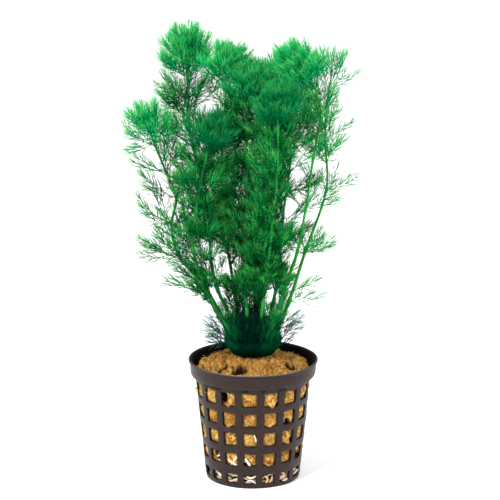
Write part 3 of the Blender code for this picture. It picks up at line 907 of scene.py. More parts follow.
# %% Root paths
def curly_root(lower, upper, count=15):
    """A root that wanders round just inside the wall, between two heights."""
    angle = chance.uniform(0, 2 * math.pi)
    height = chance.uniform(lower, upper)
    heading, pace = chance.choice([-1, 1]), chance.uniform(0.05, 0.16)
    points = []
    climb = chance.normal() * 0.0006
    for _ in range(count):
        points.append((angle, height))
        angle += heading * pace * chance.uniform(0.4, 1.3)
        climb = 0.75 * climb + chance.normal() * 0.00055
        height = min(max(height + climb, lower), upper)
    depth = 0.0003 + abs(chance.normal()) * 0.0009
    wave = chance.uniform(0, 6)
    path = []
    for k, (a, z) in enumerate(points):
        r = wall_radius(z) - WALL - 0.0004 - depth - 0.0004 * math.sin(wave + k * 0.9)
        path.append((r * math.cos(a), r * math.sin(a), z))
    return smooth_path(path, 22)


# Roots that show in the photograph's windows, as angle in degrees and height in millimetres
FRONT_ROOTS = [
    [(-89, 24.8), (-87, 23.0), (-86, 21.1)], [(-121, 12.8), (-115, 11.3), (-108, 10.1)],
    [(-108, 14.4), (-113, 12.3), (-118, 9.8)], [(-99, 13.8), (-96, 12.0), (-93, 10.2)],
    [(-138, 12.6), (-132, 13.6), (-128, 13.0)], [(-136, 11.6), (-131, 11.1), (-128, 10.5)],
    [(-120, 2.3), (-113, 3.6), (-107, 4.3)], [(-98, 5.5), (-92, 4.9), (-85, 6.0)],
    [(-98, 3.2), (-92, 3.7), (-85, 1.9)], [(-76, 5.8), (-72, 4.3), (-74, 1.2)],
    [(-70, 1.5), (-67, 3.6), (-66, 5.4)], [(-52, 1.4), (-46, 2.2), (-43, 2.9)],
    [(-28, 3.3), (-20, 4.1), (-11, 4.4)]]
LOWEST_ROOT_MM = 1.9


def placed_root(stops):
    path = []
    for degrees, height in stops:
        reach = wall_radius(height * MM) - 0.0006
        path.append((reach * math.cos(math.radians(degrees)), reach * math.sin(math.radians(degrees)),
                     max(height, LOWEST_ROOT_MM) * MM))
    return smooth_path(path, 10)


root_paths = [curly_root(0.0021, 0.0085) for _ in range(60)]
root_paths += [curly_root(0.0095, 0.0140, 7) for _ in range(8)]
root_paths += [placed_root(stops) for stops in FRONT_ROOTS]
print(len(root_paths), "roots,", len(FRONT_ROOTS), "of them placed by hand")


# %% Tubes along the paths
def thick_rods(paths, radius, sides=6, name="rods"):
    """Round tubes for roots, which are thick enough to need more sides than a fibre."""
    corners, faces, tones = [], [], []
    for path in paths:
        along = np.gradient(path, axis=0)
        along /= np.linalg.norm(along, axis=1, keepdims=True)
        aside = np.cross(along, [0, 0, 1.0])
        aside /= np.linalg.norm(aside, axis=1, keepdims=True) + 1e-9
        above = np.cross(along, aside)
        own = radius * chance.uniform(0.65, 1.25)
        from_end = np.minimum(np.arange(len(path)), np.arange(len(path))[::-1])
        swell = own * np.minimum(1, 0.25 + from_end / 2)
        start = sum(len(c) for c in corners)
        ring = [path + (aside * math.cos(t) + above * math.sin(t)) * swell[:, None]
                for t in np.linspace(0, 2 * math.pi, sides, endpoint=False)]
        corners.append(np.stack(ring, axis=1).reshape(-1, 3))
        for s in range(len(path) - 1):
            for k in range(sides):
                a, b = start + s * sides + k, start + s * sides + (k + 1) % sides
                faces.append((a, b, b + sides, a + sides))
        faces.append(tuple(start + k for k in reversed(range(sides))))
        faces.append(tuple(start + (len(path) - 1) * sides + k for k in range(sides)))
        tones.append(np.full(len(path) * sides, chance.uniform(0, 1)))
    return smooth_mesh(name, corners, faces, {"tone": tones})


ROOT_RADIUS = 0.00052
roots = thick_rods(root_paths, ROOT_RADIUS, name="roots")
root_paint, tree, shader = new_material("root_skin", 0.5)
root_colour = mix_colours(tree, attribute_of(tree, "tone"), picked(206, 164, 118), picked(255, 246, 230))
dirt = add_blotches(tree, 700, 0.55, 0.75)
paint(tree, shader, mix_colours(tree, dirt.outputs["Mask"], root_colour, picked(120, 66, 36)))
finish_piece(roots, "roots", "roots", root_paint)

# %% [markdown]
# ## The stems
# Ten soft stems rise from the wool, each from its buried end to its growing tip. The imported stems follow
# the same routes in short straight lengths. Cylinders joined end to end would show their corners, so here
# each stem is one smooth curve through the same points, with a small swelling at every node where leaves
# grow, and is then turned into a mesh.

# %% The stems' routes, in millimetres
# Each point is x, y, z and the length of the leaves that grow there; 0 is a bare point.
STEMS = [
    [(-6, -1, 47, 0), (-6.8, -1.3, 57, 0), (-20, -3, 83.5, 18), (-31, -5, 98, 20), (-34, -6, 111.5, 20),
     (-32, -6, 123.5, 19), (-36.5, -6.5, 135, 17), (-40.5, -7.5, 145.5, 18)],
    [(-3.5, 3.5, 47, 0), (-4.5, 3.5, 58, 0), (-7.8, 4.5, 80, 16), (-11.5, 7, 100, 18), (-19, 10, 121, 18),
     (-25.5, 12.5, 142, 18), (-27.3, 13, 158, 17), (-27.5, 13, 170, 18)],
    [(-4, -4.5, 47, 0), (-5.2, -4.8, 57, 0), (-20, -10, 85, 17), (-25, -14.5, 106, 18),
     (-22.5, -17, 127, 18), (-19, -18, 144, 18)],
    [(-2, 0.5, 47, 0), (-3, 0.3, 58, 0), (-15.5, -1, 84, 16), (-18, -2, 112, 18), (-13, -2, 141, 18),
     (-11.2, -2, 169, 18)],
    [(-0.5, -5, 47, 0), (-1.5, -5.5, 58, 0), (-3, -8, 85, 16), (-2.7, -10.5, 111, 18), (-2.7, -12, 137, 18),
     (-2.8, -12, 161.5, 18)],
    [(0.5, 5.5, 47, 0), (0.5, 6, 58, 0), (3, 14, 90, 17), (5.5, 20, 115, 18), (4.5, 22, 138, 18),
     (3.8, 22, 157, 18)],
    [(2, -2, 47, 0), (2.3, -3, 58, 0), (5, -10.5, 87, 16), (8, -18.5, 113, 18), (10, -22.5, 137, 18),
     (10.2, -24, 157, 18)],
    [(3.5, 3, 47, 0), (4.5, 3, 58, 0), (10.2, 4, 84, 16), (12.5, 7, 111, 18), (15.8, 8, 137, 18),
     (14.8, 8, 163, 18)],
    [(4.5, -4, 47, 0), (5.3, -4.6, 57, 0), (13, -6, 83, 16), (18.5, -7, 100, 16), (22, -7, 119, 17),
     (25, -7, 140, 17), (28, -7, 158, 0), (26, -7, 169, 18)],
    [(6, 0, 47, 0), (7, -0.3, 57, 0), (15.3, 3, 76, 15), (22.2, 7, 97, 15), (31, 12, 122.5, 16),
     (30.4, 13.5, 145, 15), (31.8, 14, 165, 16)],
]
CROWN_AXES = {1: (-0.30, -0.05, 1), 9: (-0.7, 0, 1), 10: (0.20, 0, 1)}
print(len(STEMS), "stems")

# %% Stem colours
OLD_GREENS = picked(0, 92, 36), picked(20, 136, 48)
FRESH_GREENS = picked(14, 122, 46), picked(36, 160, 64)
YOUNG_GREENS = picked(20, 130, 36), picked(48, 168, 52)


def make_stem_streaks():
    """Streaks along the stem between two greens, and painted shade that darkens it towards the wool."""
    group, given, result = new_group(
        "stem_streaks", [("Dark", "Color", OLD_GREENS[0]), ("Light", "Color", OLD_GREENS[1])],
        [("Colour", "Color")])
    streaks = add_blotches(group, 500, 0.35, 0.65, (1, 1, 0.15))
    streaked = mix_colours(group, streaks.outputs["Mask"], given.outputs["Dark"], given.outputs["Light"])
    # Painted shade: the stem is mixed to a dark green towards the wool
    risen = mix_colours(group, add_height_mask(group, 0.058, 0.070), picked(0, 52, 26), streaked)
    group.links.new(risen, result.inputs["Colour"])
    return group


stem_streaks_group = make_stem_streaks()


def make_stem_material(name, dark, light):
    material, tree, shader = new_material(name, 0.5)
    shader.inputs["Specular IOR Level"].default_value = 0.15
    streaks = add_group(tree, stem_streaks_group, Dark=dark, Light=light)
    paint(tree, shader, streaks.outputs["Colour"])
    return material


old_stem = make_stem_material("old_stem", *OLD_GREENS)
fresh_stem = make_stem_material("fresh_stem", *FRESH_GREENS)
young_stem = make_stem_material("young_stem", *YOUNG_GREENS)
STEM_PAINTS = {5: fresh_stem, 6: fresh_stem, 7: fresh_stem, 8: fresh_stem, 9: young_stem, 10: young_stem}
print(len(STEM_PAINTS), "stems have the fresher greens")

# %% Draw the stems
POINTS_PER_STRETCH, NODE_SWELLING, TIP_TAPER = 8, 1.35, 0.6


def stem_thickness(height):
    """The radius of a stem in mm: 0.9 at the wool, and under 0.4 at its tip."""
    return float(np.interp(height, [0.05, 0.08, 0.12, 0.18], [0.9, 0.75, 0.5, 0.38]))


def draw_stem(number, route):
    """A smooth curve through the route's points, thicker at its nodes, made into a mesh."""
    bpy.ops.curve.primitive_bezier_curve_add()
    obj = bpy.context.object
    curve = obj.data
    curve.splines.clear()
    path = smooth_path([Vector(p[:3]) * MM for p in route], POINTS_PER_STRETCH * (len(route) - 1) + 1)
    onward = Vector(CROWN_AXES.get(number, path[-1] - path[-2])).normalized()
    path = [Vector(p) for p in path] + [Vector(path[-1]) + onward * 0.003 * k for k in (1, 2, 3)]
    spline = curve.splines.new("BEZIER")
    spline.bezier_points.add(len(path) - 1)
    for k, (point, place) in enumerate(zip(spline.bezier_points, path)):
        point.co = place
        point.handle_left_type = point.handle_right_type = "AUTO"
        stretch, step = divmod(k, POINTS_PER_STRETCH)
        node_here = step == 0 and stretch < len(route) and route[stretch][3]
        swelling, taper = NODE_SWELLING if node_here else 1, 1 if k < len(path) - 2 else TIP_TAPER
        point.radius = stem_thickness(place[2]) * swelling * taper
    curve.bevel_depth = 0.0010
    curve.bevel_resolution = 3
    curve.resolution_u = 4
    curve.use_fill_caps = True
    bpy.ops.object.convert(target="MESH")
    finish_piece(bpy.context.object, f"stem_{number:02d}_shoot", "stems",
                 STEM_PAINTS.get(number, old_stem), f"stem_{number:02d}")


for number, route in enumerate(STEMS, 1):
    draw_stem(number, route)

# %% [markdown]
# ## Feathery leaves
# An ambulia leaf is a flat feather: a bare foot, then long threads on both sides of its midrib, each with
# two forks. Drawing every leaf on its own would take thousands of drawings. So one feather is drawn as a
# pattern of points, where u runs along the leaf, v across it and w out of it. Sixteen such patterns, each
# a little different, serve all the leaves. The pale stem on the right has thinner leaves, so it gets
# patterns of its own with fewer threads.

# %% Draw the feather pattern
# Where the first and last pairs of threads leave the midrib, as shares of the leaf's length
FIRST_THREAD, LAST_THREAD = 0.28, 0.78
# How far the first pair stands off the midrib and by how much less the last, in degrees
WIDEST, NARROWING = 50, 28
# Each thread bends towards the leaf's tip by this angle, in radians
THREAD_BEND = 0.22
# The threads' lengths from the first pair to the last, as shares of the leaf's length
PAIR_SHARES, PAIR_LENGTHS = [0, 0.3, 0.65, 1], [0.46, 0.54, 0.46, 0.32]
# The two forks of a thread: how far along it they start, and on which side
FORKS = (0.30, 1), (0.48, -1)


def feather(seed, pairs=6):
    """The pattern of one leaf: long threads with three stations, and forks with two."""
    own = random.Random(seed)
    long_threads = [[(0, 0, 0), (0.30, 0, 0), (0.66, 0, 0)], [(0.50, 0, 0), (0.76, 0, 0), (1.02, 0.02, 0.02)]]
    forks = []
    for pair in range(pairs):
        share = pair / (pairs - 1)
        for side in (-1, 1):
            u = FIRST_THREAD + (LAST_THREAD - FIRST_THREAD) * share + own.uniform(-0.035, 0.035)
            angle = math.radians(WIDEST - NARROWING * share + own.uniform(-6, 6))
            out = own.uniform(-1.1, 1.1)
            length = np.interp(share, PAIR_SHARES, PAIR_LENGTHS) * own.uniform(0.85, 1.1)

            def at(s, turn=0.0, far=0.0, lift=0.0):
                """A point s along the bent thread, and from there far along a line turned from it."""
                bent = angle - THREAD_BEND * s
                along = length * s
                u1, off = u + along * math.cos(bent), along * math.sin(bent)
                u1, off = u1 + far * math.cos(bent + turn), off + far * math.sin(bent + turn)
                return u1, side * off * math.cos(out), off * math.sin(out) + far * lift

            long_threads.append([at(0), at(0.5), at(1)])
            for s, turn in FORKS:
                s += own.uniform(-0.08, 0.08)
                turn *= math.radians(own.uniform(10, 22))
                far = length * (1.0 - s) * own.uniform(0.75, 1.1)
                forks.append([at(s), at(s, turn, far, own.uniform(-0.45, 0.45))])
    return np.array(long_threads), np.array(forks)


FEATHERS = [feather(seed) for seed in range(16)]
SPARSE_FEATHERS = [feather(seed, pairs=4) for seed in range(16, 24)]
print("a feather has", len(FEATHERS[0][0]), "long threads and", len(FEATHERS[0][1]), "forks")

# %% [markdown]
# ### Where the leaves grow
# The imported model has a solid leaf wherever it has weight. Leaves could be scattered anew, but then the
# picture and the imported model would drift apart. So each packed leaf is read from its mesh, where its tip
# is the one point with four edges that lies far from the stem, and it lends its foot, belly and tip.

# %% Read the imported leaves
# Points nearer to the stem's node than this belong to the collar and not to a leaf
COLLAR_REACH = 0.0035


class Leaf:
    """A leaf's foot, belly and tip, with the directions across it and out of its upper face."""

    def __init__(self, foot, belly, tip, across, upper, width):
        self.foot, self.belly, self.tip = foot, belly, tip
        self.across, self.upper, self.width = across, upper, width
        self.length = (belly - foot).length + (tip - belly).length


def upper_side(across, along, axis):
    """The direction out of a leaf's upper face, which is the one nearer to the stem's axis."""
    upper = across.cross(along).normalized()
    return upper if upper.dot(axis) >= 0 else -upper


def packed_leaves(node, seat, axis):
    """The leaves of one packed whorl, crown or tuft, read from a merged copy of its mesh."""
    bm = bmesh.new()
    bm.from_mesh(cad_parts[node].data)
    bmesh.ops.remove_doubles(bm, verts=bm.verts, dist=1e-6)
    leaves = []
    for tip in bm.verts:
        belly = [edge.other_vert(tip) for edge in tip.link_edges]
        if len(belly) != 4 or (tip.co - seat).length < COLLAR_REACH:
            continue
        if any((v.co - seat).length > (tip.co - seat).length for v in belly):
            continue
        beyond = dict.fromkeys(edge.other_vert(v) for v in belly for edge in v.link_edges)
        feet = [v for v in beyond if v != tip and v not in belly]
        foot = sum((v.co for v in feet), Vector()) / len(feet)
        middle = sum((v.co for v in belly), Vector()) / 4
        widest = max(((a.co - b.co) for a in belly for b in belly), key=lambda d: d.length)
        along = (tip.co - foot).normalized()
        across = along.cross(axis).normalized()
        if across.dot(widest) < 0:
            across = -across
        upper = upper_side(across, along, axis)
        leaves.append(Leaf(foot, middle, tip.co.copy(), across, upper, widest.length))
    bm.free()
    return leaves


first_crown = packed_leaves("stem_01_crown", Vector(STEMS[0][-1][:3]) * MM,
                            Vector(CROWN_AXES[1]).normalized())
print("the crown of the first stem has", len(first_crown), "packed leaves")


# %% A leaf between two others
def between(one, other, seat, axis, share, lean, shrink):
    """A leaf between two neighbours, turned towards the stem by lean and shortened by shrink."""
    parts = []
    for name in ("foot", "belly", "tip"):
        a, b = getattr(one, name) - seat, getattr(other, name) - seat
        up = a.dot(axis) * (1 - share) + b.dot(axis) * share
        flat_a, flat_b = a - axis * a.dot(axis), b - axis * b.dot(axis)
        reach = flat_a.length * (1 - share) + flat_b.length * share
        flat = (flat_a.normalized() * (1 - share) + flat_b.normalized() * share).normalized()
        parts.append((flat, reach, up))
    foot = seat + parts[0][0] * parts[0][1] + axis * parts[0][2]
    made = [foot]
    for flat, reach, up in parts[1:]:
        out, high = (reach - parts[0][1]) * shrink, (up - parts[0][2]) * shrink
        size, angle = math.hypot(out, high), math.atan2(out, high) * lean
        made.append(foot + flat * size * math.sin(angle) + axis * size * math.cos(angle))
    along = (made[2] - foot).normalized()
    across = along.cross(axis).normalized()
    return Leaf(foot, made[1], made[2], across, upper_side(across, along, axis),
                (one.width + other.width) / 2 * shrink)


print("leaves of that crown are", round(first_crown[0].length / MM, 1), "mm long")

# %% A leaf on a bare stretch of stem
# The belly lies at this share of a leaf's length, and the rest of the leaf is lifted by LEAF_LIFT
BELLY, BEYOND = 0.55, 0.45
LEAF_LIFT = math.radians(14)
# A leaf's usual width, as a share of its length
USUAL_WIDTH = 0.46


def free_leaf(seat, axis, turn, lean, length):
    """A leaf at a point of a stem, turned round the stem and leaning out from it."""
    side = axis.orthogonal().normalized()
    outward = side * math.cos(turn) + axis.cross(side) * math.sin(turn)
    rise = outward * math.sin(lean) + axis * math.cos(lean)
    turned = outward * math.sin(lean - LEAF_LIFT) + axis * math.cos(lean - LEAF_LIFT)
    foot = seat + outward * 0.0005
    belly = foot + rise * length * BELLY
    tip = belly + turned * length * BEYOND
    across = rise.cross(axis).normalized()
    return Leaf(foot, belly, tip, across, upper_side(across, rise, axis), length * USUAL_WIDTH)


example = free_leaf(Vector(), Vector((0, 0, 1)), 0, math.radians(45), 0.016)
print("a leaf of 16 mm that leans by 45 degrees rises", round(example.tip.z / MM, 1), "mm")

# %% [markdown]
# ### Gaps and outline
# The white of the photograph shows through the bunch in a dozen places, and the bunch has a narrow waist
# just over the pot. Leaves that chance puts there would close the gaps. They could be deleted afterwards,
# but it is simpler to ask of every new leaf whether it would be seen in a gap, or outside the waist.

# %% Keep the gaps open
# Gaps in the bunch, as the camera sees them in the plane of the pot's axis: x, height and radius in mm
GAPS = [(-19.5, 162.9, 2.4), (20.8, 141.5, 2.6), (20.4, 136, 3.2), (17.4, 118.2, 3.8), (-14.7, 94.3, 3.2),
        (-16, 82, 2.0), (8.5, 81, 1.6), (16.5, 98.5, 2.6), (-7.2, 94.3, 1.8),
        (21.5, 117, 4.0), (21, 95, 3.4), (20, 84, 3.5), (-43, 139, 3.0)]
# How much wider than a gap the clear space round it is, for the width of the threads, in mm
GAP_MARGIN = 2.0
# How far out leaves may reach to the left and right at each height, in mm
WAIST_HEIGHTS = [58, 62, 68, 74, 80, 90, 104, 116]
WAIST_LEFT, WAIST_RIGHT = [9.5, 10, 13.5, 16.5, 21, 34, 48, 60], [9.5, 9.5, 11, 15, 17, 23, 33, 37]


def seen(point):
    """Where a point appears in the upright plane through the pot's axis, in mm across and up."""
    nearness = CAMERA_DISTANCE / (CAMERA_DISTANCE + point.y)
    return Vector((point.x * nearness, camera.location.z + (point.z - camera.location.z) * nearness)) / MM


def fits(leaf):
    """Whether a leaf keeps clear of the gaps and inside the waist."""
    for share in (0.5, 0.75, 1.0):
        place = seen(leaf.foot.lerp(leaf.tip, share))
        if any((place - Vector(gap[:2])).length < gap[2] + GAP_MARGIN for gap in GAPS):
            return False
    left, right = (np.interp(place.y, WAIST_HEIGHTS, reach) for reach in (WAIST_LEFT, WAIST_RIGHT))
    return -left < place.x < right and abs(leaf.tip.y) / MM < (left + right) / 2


print(len(GAPS), "gaps, and", sum(fits(leaf) for leaf in first_crown), "of the", len(first_crown),
      "leaves of the first crown keep clear of them")

# %% [markdown]
# ### Shade in the middle of the bunch
# Inside a bunch it is dark, because every leaf shades the next. The render does this by itself only in
# part, as threads this thin let much light past. So each point of a thread also gets a number that says
# how deep in the bunch it lies, and the leaf material darkens by it.

# %% Shade deep in the bunch
# The bunch's reach from its axis at each height, in metres
BUNCH_HEIGHTS = [0.055, 0.075, 0.10, 0.13, 0.17, 0.195]
BUNCH_REACH = [0.012, 0.019, 0.033, 0.037, 0.036, 0.030]
# The dark heart of the bunch over the wool: its middle and its radius
HEART, HEART_RADIUS = (-0.0013, -0.0055), 0.0048


def inner_share(points):
    """How deep in the bunch points lie: 1 near its middle, 0 at its outside and in its top."""
    reach = np.linalg.norm(points[..., :2], axis=-1)
    height = points[..., 2]
    depth = np.clip(1.05 - 1.4 * reach / np.interp(height, BUNCH_HEIGHTS, BUNCH_REACH), 0, 1)
    shade = depth * np.interp(height, [0.055, 0.145, 0.175], [0.9, 0.8, 0.1])
    off = np.hypot(points[..., 0] - HEART[0], points[..., 1] - HEART[1])
    heart = np.clip(1.7 - off / HEART_RADIUS, 0, 1) * np.interp(height, [0.055, 0.071, 0.078], [1, 1, 0])
    return np.maximum(shade, heart)


on_axis = np.array([[0, 0, z] for z in (0.06, 0.12, 0.18)])
print("shade on the axis at 60, 120 and 180 mm:", inner_share(on_axis).round(2).tolist())

# %% [markdown]
# ### Young whorls
# In the photograph leaves stand all along most stems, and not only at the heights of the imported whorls,
# which are few because solids are heavy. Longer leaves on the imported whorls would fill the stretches
# between them, but would look like brushes. So smaller whorls are set on those stretches, fuller where
# the bunch is dense.

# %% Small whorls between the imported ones
own_chance = random.Random(5)
# Below this height leaves are shorter and stand closer to the stem
LOW_LEAVES = 0.083


def young_whorls(route, spacing, lowest_height, top_gap, count):
    """Small whorls on the stretches of a stem between its packed whorls."""
    path = smooth_path([Vector(p[:3]) * MM for p in route], 200)
    taken = [Vector(p[:3]) * MM for p in route if p[3]]
    made, since = [], spacing * own_chance.random()
    for before, here in zip(path, path[1:]):
        since += np.linalg.norm(here - before)
        seat = Vector(here)
        if since < spacing or seat.z < lowest_height or (seat - taken[-1]).length < top_gap:
            continue
        if min((seat - place).length for place in taken) < COLLAR_REACH:
            continue
        since = 0
        axis = Vector(here - before).normalized()
        first = own_chance.uniform(0, 2 * math.pi)
        low = seat.z < LOW_LEAVES
        crowding = 1 + 1.5 * float(inner_share(np.array(seat)))
        here_count = round(count * crowding * (1.4 if seat.y > 0.004 else 0.8))
        for k in range(here_count):
            lean = math.radians(own_chance.uniform(6, 28) if low else own_chance.uniform(34, 66))
            length = (0.0135 if low else 0.0160) * own_chance.uniform(0.85, 1.1)
            turn = first + 2 * math.pi * k / here_count + own_chance.uniform(-0.2, 0.2)
            leaf = free_leaf(seat, axis, turn, lean, length)
            if fits(leaf):
                made.append((leaf, own_chance.uniform(0, 0.5 if low else 0.9)))
    return made


print("leaves are short up to", round(LOW_LEAVES / MM), "mm")

# %% [markdown]
# ### From leaves to threads
# Each leaf now has a foot, a belly and a tip, and a feather has to follow them. It could be bent by an
# armature or a curve modifier, but for two thousand leaves one formula is quicker: the parabola through
# the three points places the midrib, and the directions across and out of the leaf place its threads.

# %% Lay a feather along a leaf
LONG_RADII = np.array([0.00015, 0.00012, 0.00004])
FORK_RADII = np.array([0.00011, 0.00004])
# Leaves are rolled round their midribs by up to this angle, in radians
LEAF_ROLL = 1.1
lowest, highest = (np.array(corner) for corner in packed_box)
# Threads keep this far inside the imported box
BOX_MARGIN = 0.0003


def lay_feather(leaf, pattern, tone):
    """One leaf's threads as two batches of rods, rolled a little round its midrib."""
    batches = []
    foot, belly, tip = (np.array(p) for p in (leaf.foot, leaf.belly, leaf.tip))
    roll = own_chance.uniform(-LEAF_ROLL, LEAF_ROLL)
    across = np.array(leaf.across) * math.cos(roll) + np.array(leaf.upper) * math.sin(roll)
    upper = np.array(leaf.upper) * math.cos(roll) - np.array(leaf.across) * math.sin(roll)
    spread = leaf.length * min(1.1, max(0.75, leaf.width / leaf.length / USUAL_WIDTH))
    for threads, radii in zip(pattern, (LONG_RADII, FORK_RADII)):
        u, v, w = threads[..., 0:1], threads[..., 1:2], threads[..., 2:3]
        near, far = (u - BELLY) * (u - 1) / BELLY, u * (u - BELLY) / BEYOND
        mid = u * (u - 1) / (BELLY * -BEYOND)
        points = foot * near + belly * mid + tip * far + (across * v + upper * w) * spread
        points = np.minimum(np.maximum(points, lowest + BOX_MARGIN), highest - BOX_MARGIN)
        tones = np.clip(tone + chance.normal(size=(len(threads), 1)) * 0.35, 0, 1)
        values = {"tone": np.repeat(tones, u.shape[1], axis=1), "inner": inner_share(points),
                  "reach": np.clip(u[..., 0] + np.hypot(v[..., 0], w[..., 0]) * 0.6, 0, 1.2)}
        batches.append((points, np.repeat(radii[None], len(threads), axis=0), values))
    return batches


print("threads are", round(float(LONG_RADII[0]) * 2 / MM, 2), "mm thick at their feet")


# %% Join the feathers of many leaves
def join_batches(leaves, shade=0, feathers=FEATHERS):
    """Turns (leaf, tone) pairs into rods, with a feather picked by chance for each leaf."""
    long_ones, forks = [], []
    for leaf, tone in leaves:
        long_batch, fork_batch = lay_feather(leaf, feathers[own_chance.randrange(len(feathers))], tone)
        long_ones.append(long_batch)
        forks.append(fork_batch)
    joined = []
    for group in (long_ones, forks):
        points = np.concatenate([b[0] for b in group])
        radii = np.concatenate([b[1] for b in group])
        values = {label: np.concatenate([b[2][label] for b in group]) for label in group[0][2]}
        values["inner"] = 1 - (1 - values["inner"]) * (1 - shade)
        joined.append((points, radii, values))
    return joined


print("each leaf gets one of", len(FEATHERS), "feathers, or of", len(SPARSE_FEATHERS), "sparse ones")

# %% Fill a whorl
# Feet closer together than this along the stem are in one tier
TIER_HEIGHT = 0.0026
# Neighbours further apart than this angle leave an opening that is meant, in radians
WIDE_OPENING = 2.6


def grow_whorl(node, seat, axis, fullness, lean, shrink):
    """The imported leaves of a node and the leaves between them, with a tone of their own each."""
    leaves = packed_leaves(node, seat, axis)
    side = axis.orthogonal().normalized()
    other_side = axis.cross(side)
    turn = lambda leaf: math.atan2((leaf.tip - seat).dot(other_side), (leaf.tip - seat).dot(side))
    made = [(leaf, own_chance.uniform(0.3, 1)) for leaf in leaves]
    tiers = {}
    for leaf in leaves:
        tiers.setdefault(round((leaf.foot - seat).dot(axis) / TIER_HEIGHT), []).append(leaf)
    for tier in tiers.values():
        tier.sort(key=turn)
        for one, other in zip(tier, tier[1:] + tier[:1]):
            gap = (turn(other) - turn(one)) % (2 * math.pi)
            if len(tier) < 2 or gap > WIDE_OPENING:
                continue
            for k in range(fullness):
                share = (k + 1) / (fullness + 1) + own_chance.uniform(-0.08, 0.08)
                leaf = between(one, other, seat, axis, share, lean * own_chance.uniform(0.75, 1.25),
                               shrink * own_chance.uniform(0.85, 1.05))
                if fits(leaf):
                    made.append((leaf, own_chance.uniform(0, 0.8)))
    return made


print("an opening of over", round(math.degrees(WIDE_OPENING)), "degrees in a whorl stays open")

# %% [markdown]
# ### Leaf greens
# No two threads of the plant have the same green: it is deeper low down and lighter at the top, partly
# as older and younger leaves are and partly as painted light from above. Painted shade darkens it inside
# the bunch, and painted light makes it palest at the thin tips, where light comes through. One colour for
# each piece would look flat, and an image can't be painted over tens of thousands of threads. So one node
# group mixes five greens by the height and by the three numbers that each thread carries: its tone, its
# reach along the leaf and its depth inside.

# %% Leaf material
LEAF_COLOURS = ("Low", "High", "Tip", "Dark", "Deep")


def make_leaf_greens():
    """Greens by height, lighter at the top partly as painted light, by each thread's tone, palest towards the
    tips as painted light, and with painted shade deep in the bunch.
    """
    group, given, result = new_group(
        "leaf_greens", [(label, "Color", picked(0, 120, 60)) for label in LEAF_COLOURS]
        + [(label, "Float", 0.0) for label in ("Tone", "Reach", "Inner")], [("Colour", "Color")])
    green = given.outputs
    # Lighter towards the top: partly younger leaves, partly painted light from above
    by_height = mix_colours(group, add_height_mask(group, 0.07, 0.175), green["Low"], green["High"])
    toned = mix_colours(group, green["Tone"], green["Dark"], by_height)
    outer = add_node(group, "MapRange", From_Min=0.25, From_Max=0.70)
    end = add_node(group, "MapRange", From_Min=0.7, From_Max=1.15, To_Max=0.85)
    for node in (outer, end):
        group.links.new(green["Reach"], node.inputs["Value"])
    toned = mix_colours(group, outer.outputs["Result"], green["Dark"], toned)
    # Painted light: the thin tips are mixed to the pale Tip green, as if lit through
    tipped = mix_colours(group, end.outputs["Result"], toned, green["Tip"])
    varied = mix_colours(group, add_blotches(group, 160, 0.3, 0.6).outputs["Mask"], toned, tipped)
    # Painted shade: mixed to the Deep green by how deep in the bunch a thread lies
    shaded = mix_colours(group, green["Inner"], varied, green["Deep"])
    group.links.new(shaded, result.inputs["Colour"])
    return group


leaf_greens_group = make_leaf_greens()


def make_leaf_material(name, *colours):
    """A leaf material from five colours, in the order of LEAF_COLOURS."""
    material, tree, shader = new_material(name, 0.7)
    shader.inputs["Specular IOR Level"].default_value = 0.0
    greens = add_group(tree, leaf_greens_group,
                       **{label: picked(*colour) for label, colour in zip(LEAF_COLOURS, colours)})
    for label in ("Tone", "Reach", "Inner"):
        tree.links.new(attribute_of(tree, label.lower()), greens.inputs[label])
    paint(tree, shader, greens.outputs["Colour"])
    return material


whorl_leaf = make_leaf_material(
    "whorl_leaf", (22, 138, 62), (16, 180, 90), (90, 200, 88), (0, 85, 39), (0, 72, 37))
crown_leaf = make_leaf_material(
    "crown_leaf", (0, 154, 87), (0, 200, 113), (96, 214, 104), (0, 144, 81), (0, 98, 55))
# Painted light: lighter greens for the leaves of stems 9 and 10, on the right
lit_side_leaf = make_leaf_material(
    "lit_side_leaf", (30, 168, 76), (24, 190, 98), (110, 214, 112), (12, 144, 64), (0, 96, 48))
# The tuft's dark greens are partly old leaves' own colour and partly painted shade at the foot of the bunch
tuft_leaf = make_leaf_material(
    "tuft_leaf", (0, 82, 46), (0, 96, 56), (20, 120, 70), (0, 46, 34), (0, 34, 26))
faded_leaf = make_leaf_material(
    "faded_leaf", (92, 140, 134), (104, 150, 146), (156, 188, 190), (70, 112, 110), (48, 84, 82))
print("leaf materials take", len(LEAF_COLOURS), "colours each")

# %% [markdown]
# ### Whorls and crowns
# A whorl is a ring of leaves, and a crown is the growing tip, where the youngest whorls still stand so
# close that they look like a tuft. Crowns could be drawn as more whorls, but their leaves are upright and
# shorter. So leaves are added round the tip in a spiral, as buds do, with 2.4 radians from one to the
# next, which is close to the golden angle.

# %% The leaves of a stem's whorls
# These stems are bare between their packed whorls, up to this height
OPEN_STEMS = {1: 0.134, 9: 0.150, 10: 0.128}
# The dark column at the foot of the bunch: its middle, half its width, and its top
COLUMN, COLUMN_HALF, COLUMN_TOP = (-0.0013, -0.0035), 0.0055, 0.071


def before_column(place):
    """Whether a place is in front of the dark column, which stays in sight."""
    return abs(place.x - COLUMN[0]) < COLUMN_HALF and place.y < 0.001 and place.z < COLUMN_TOP


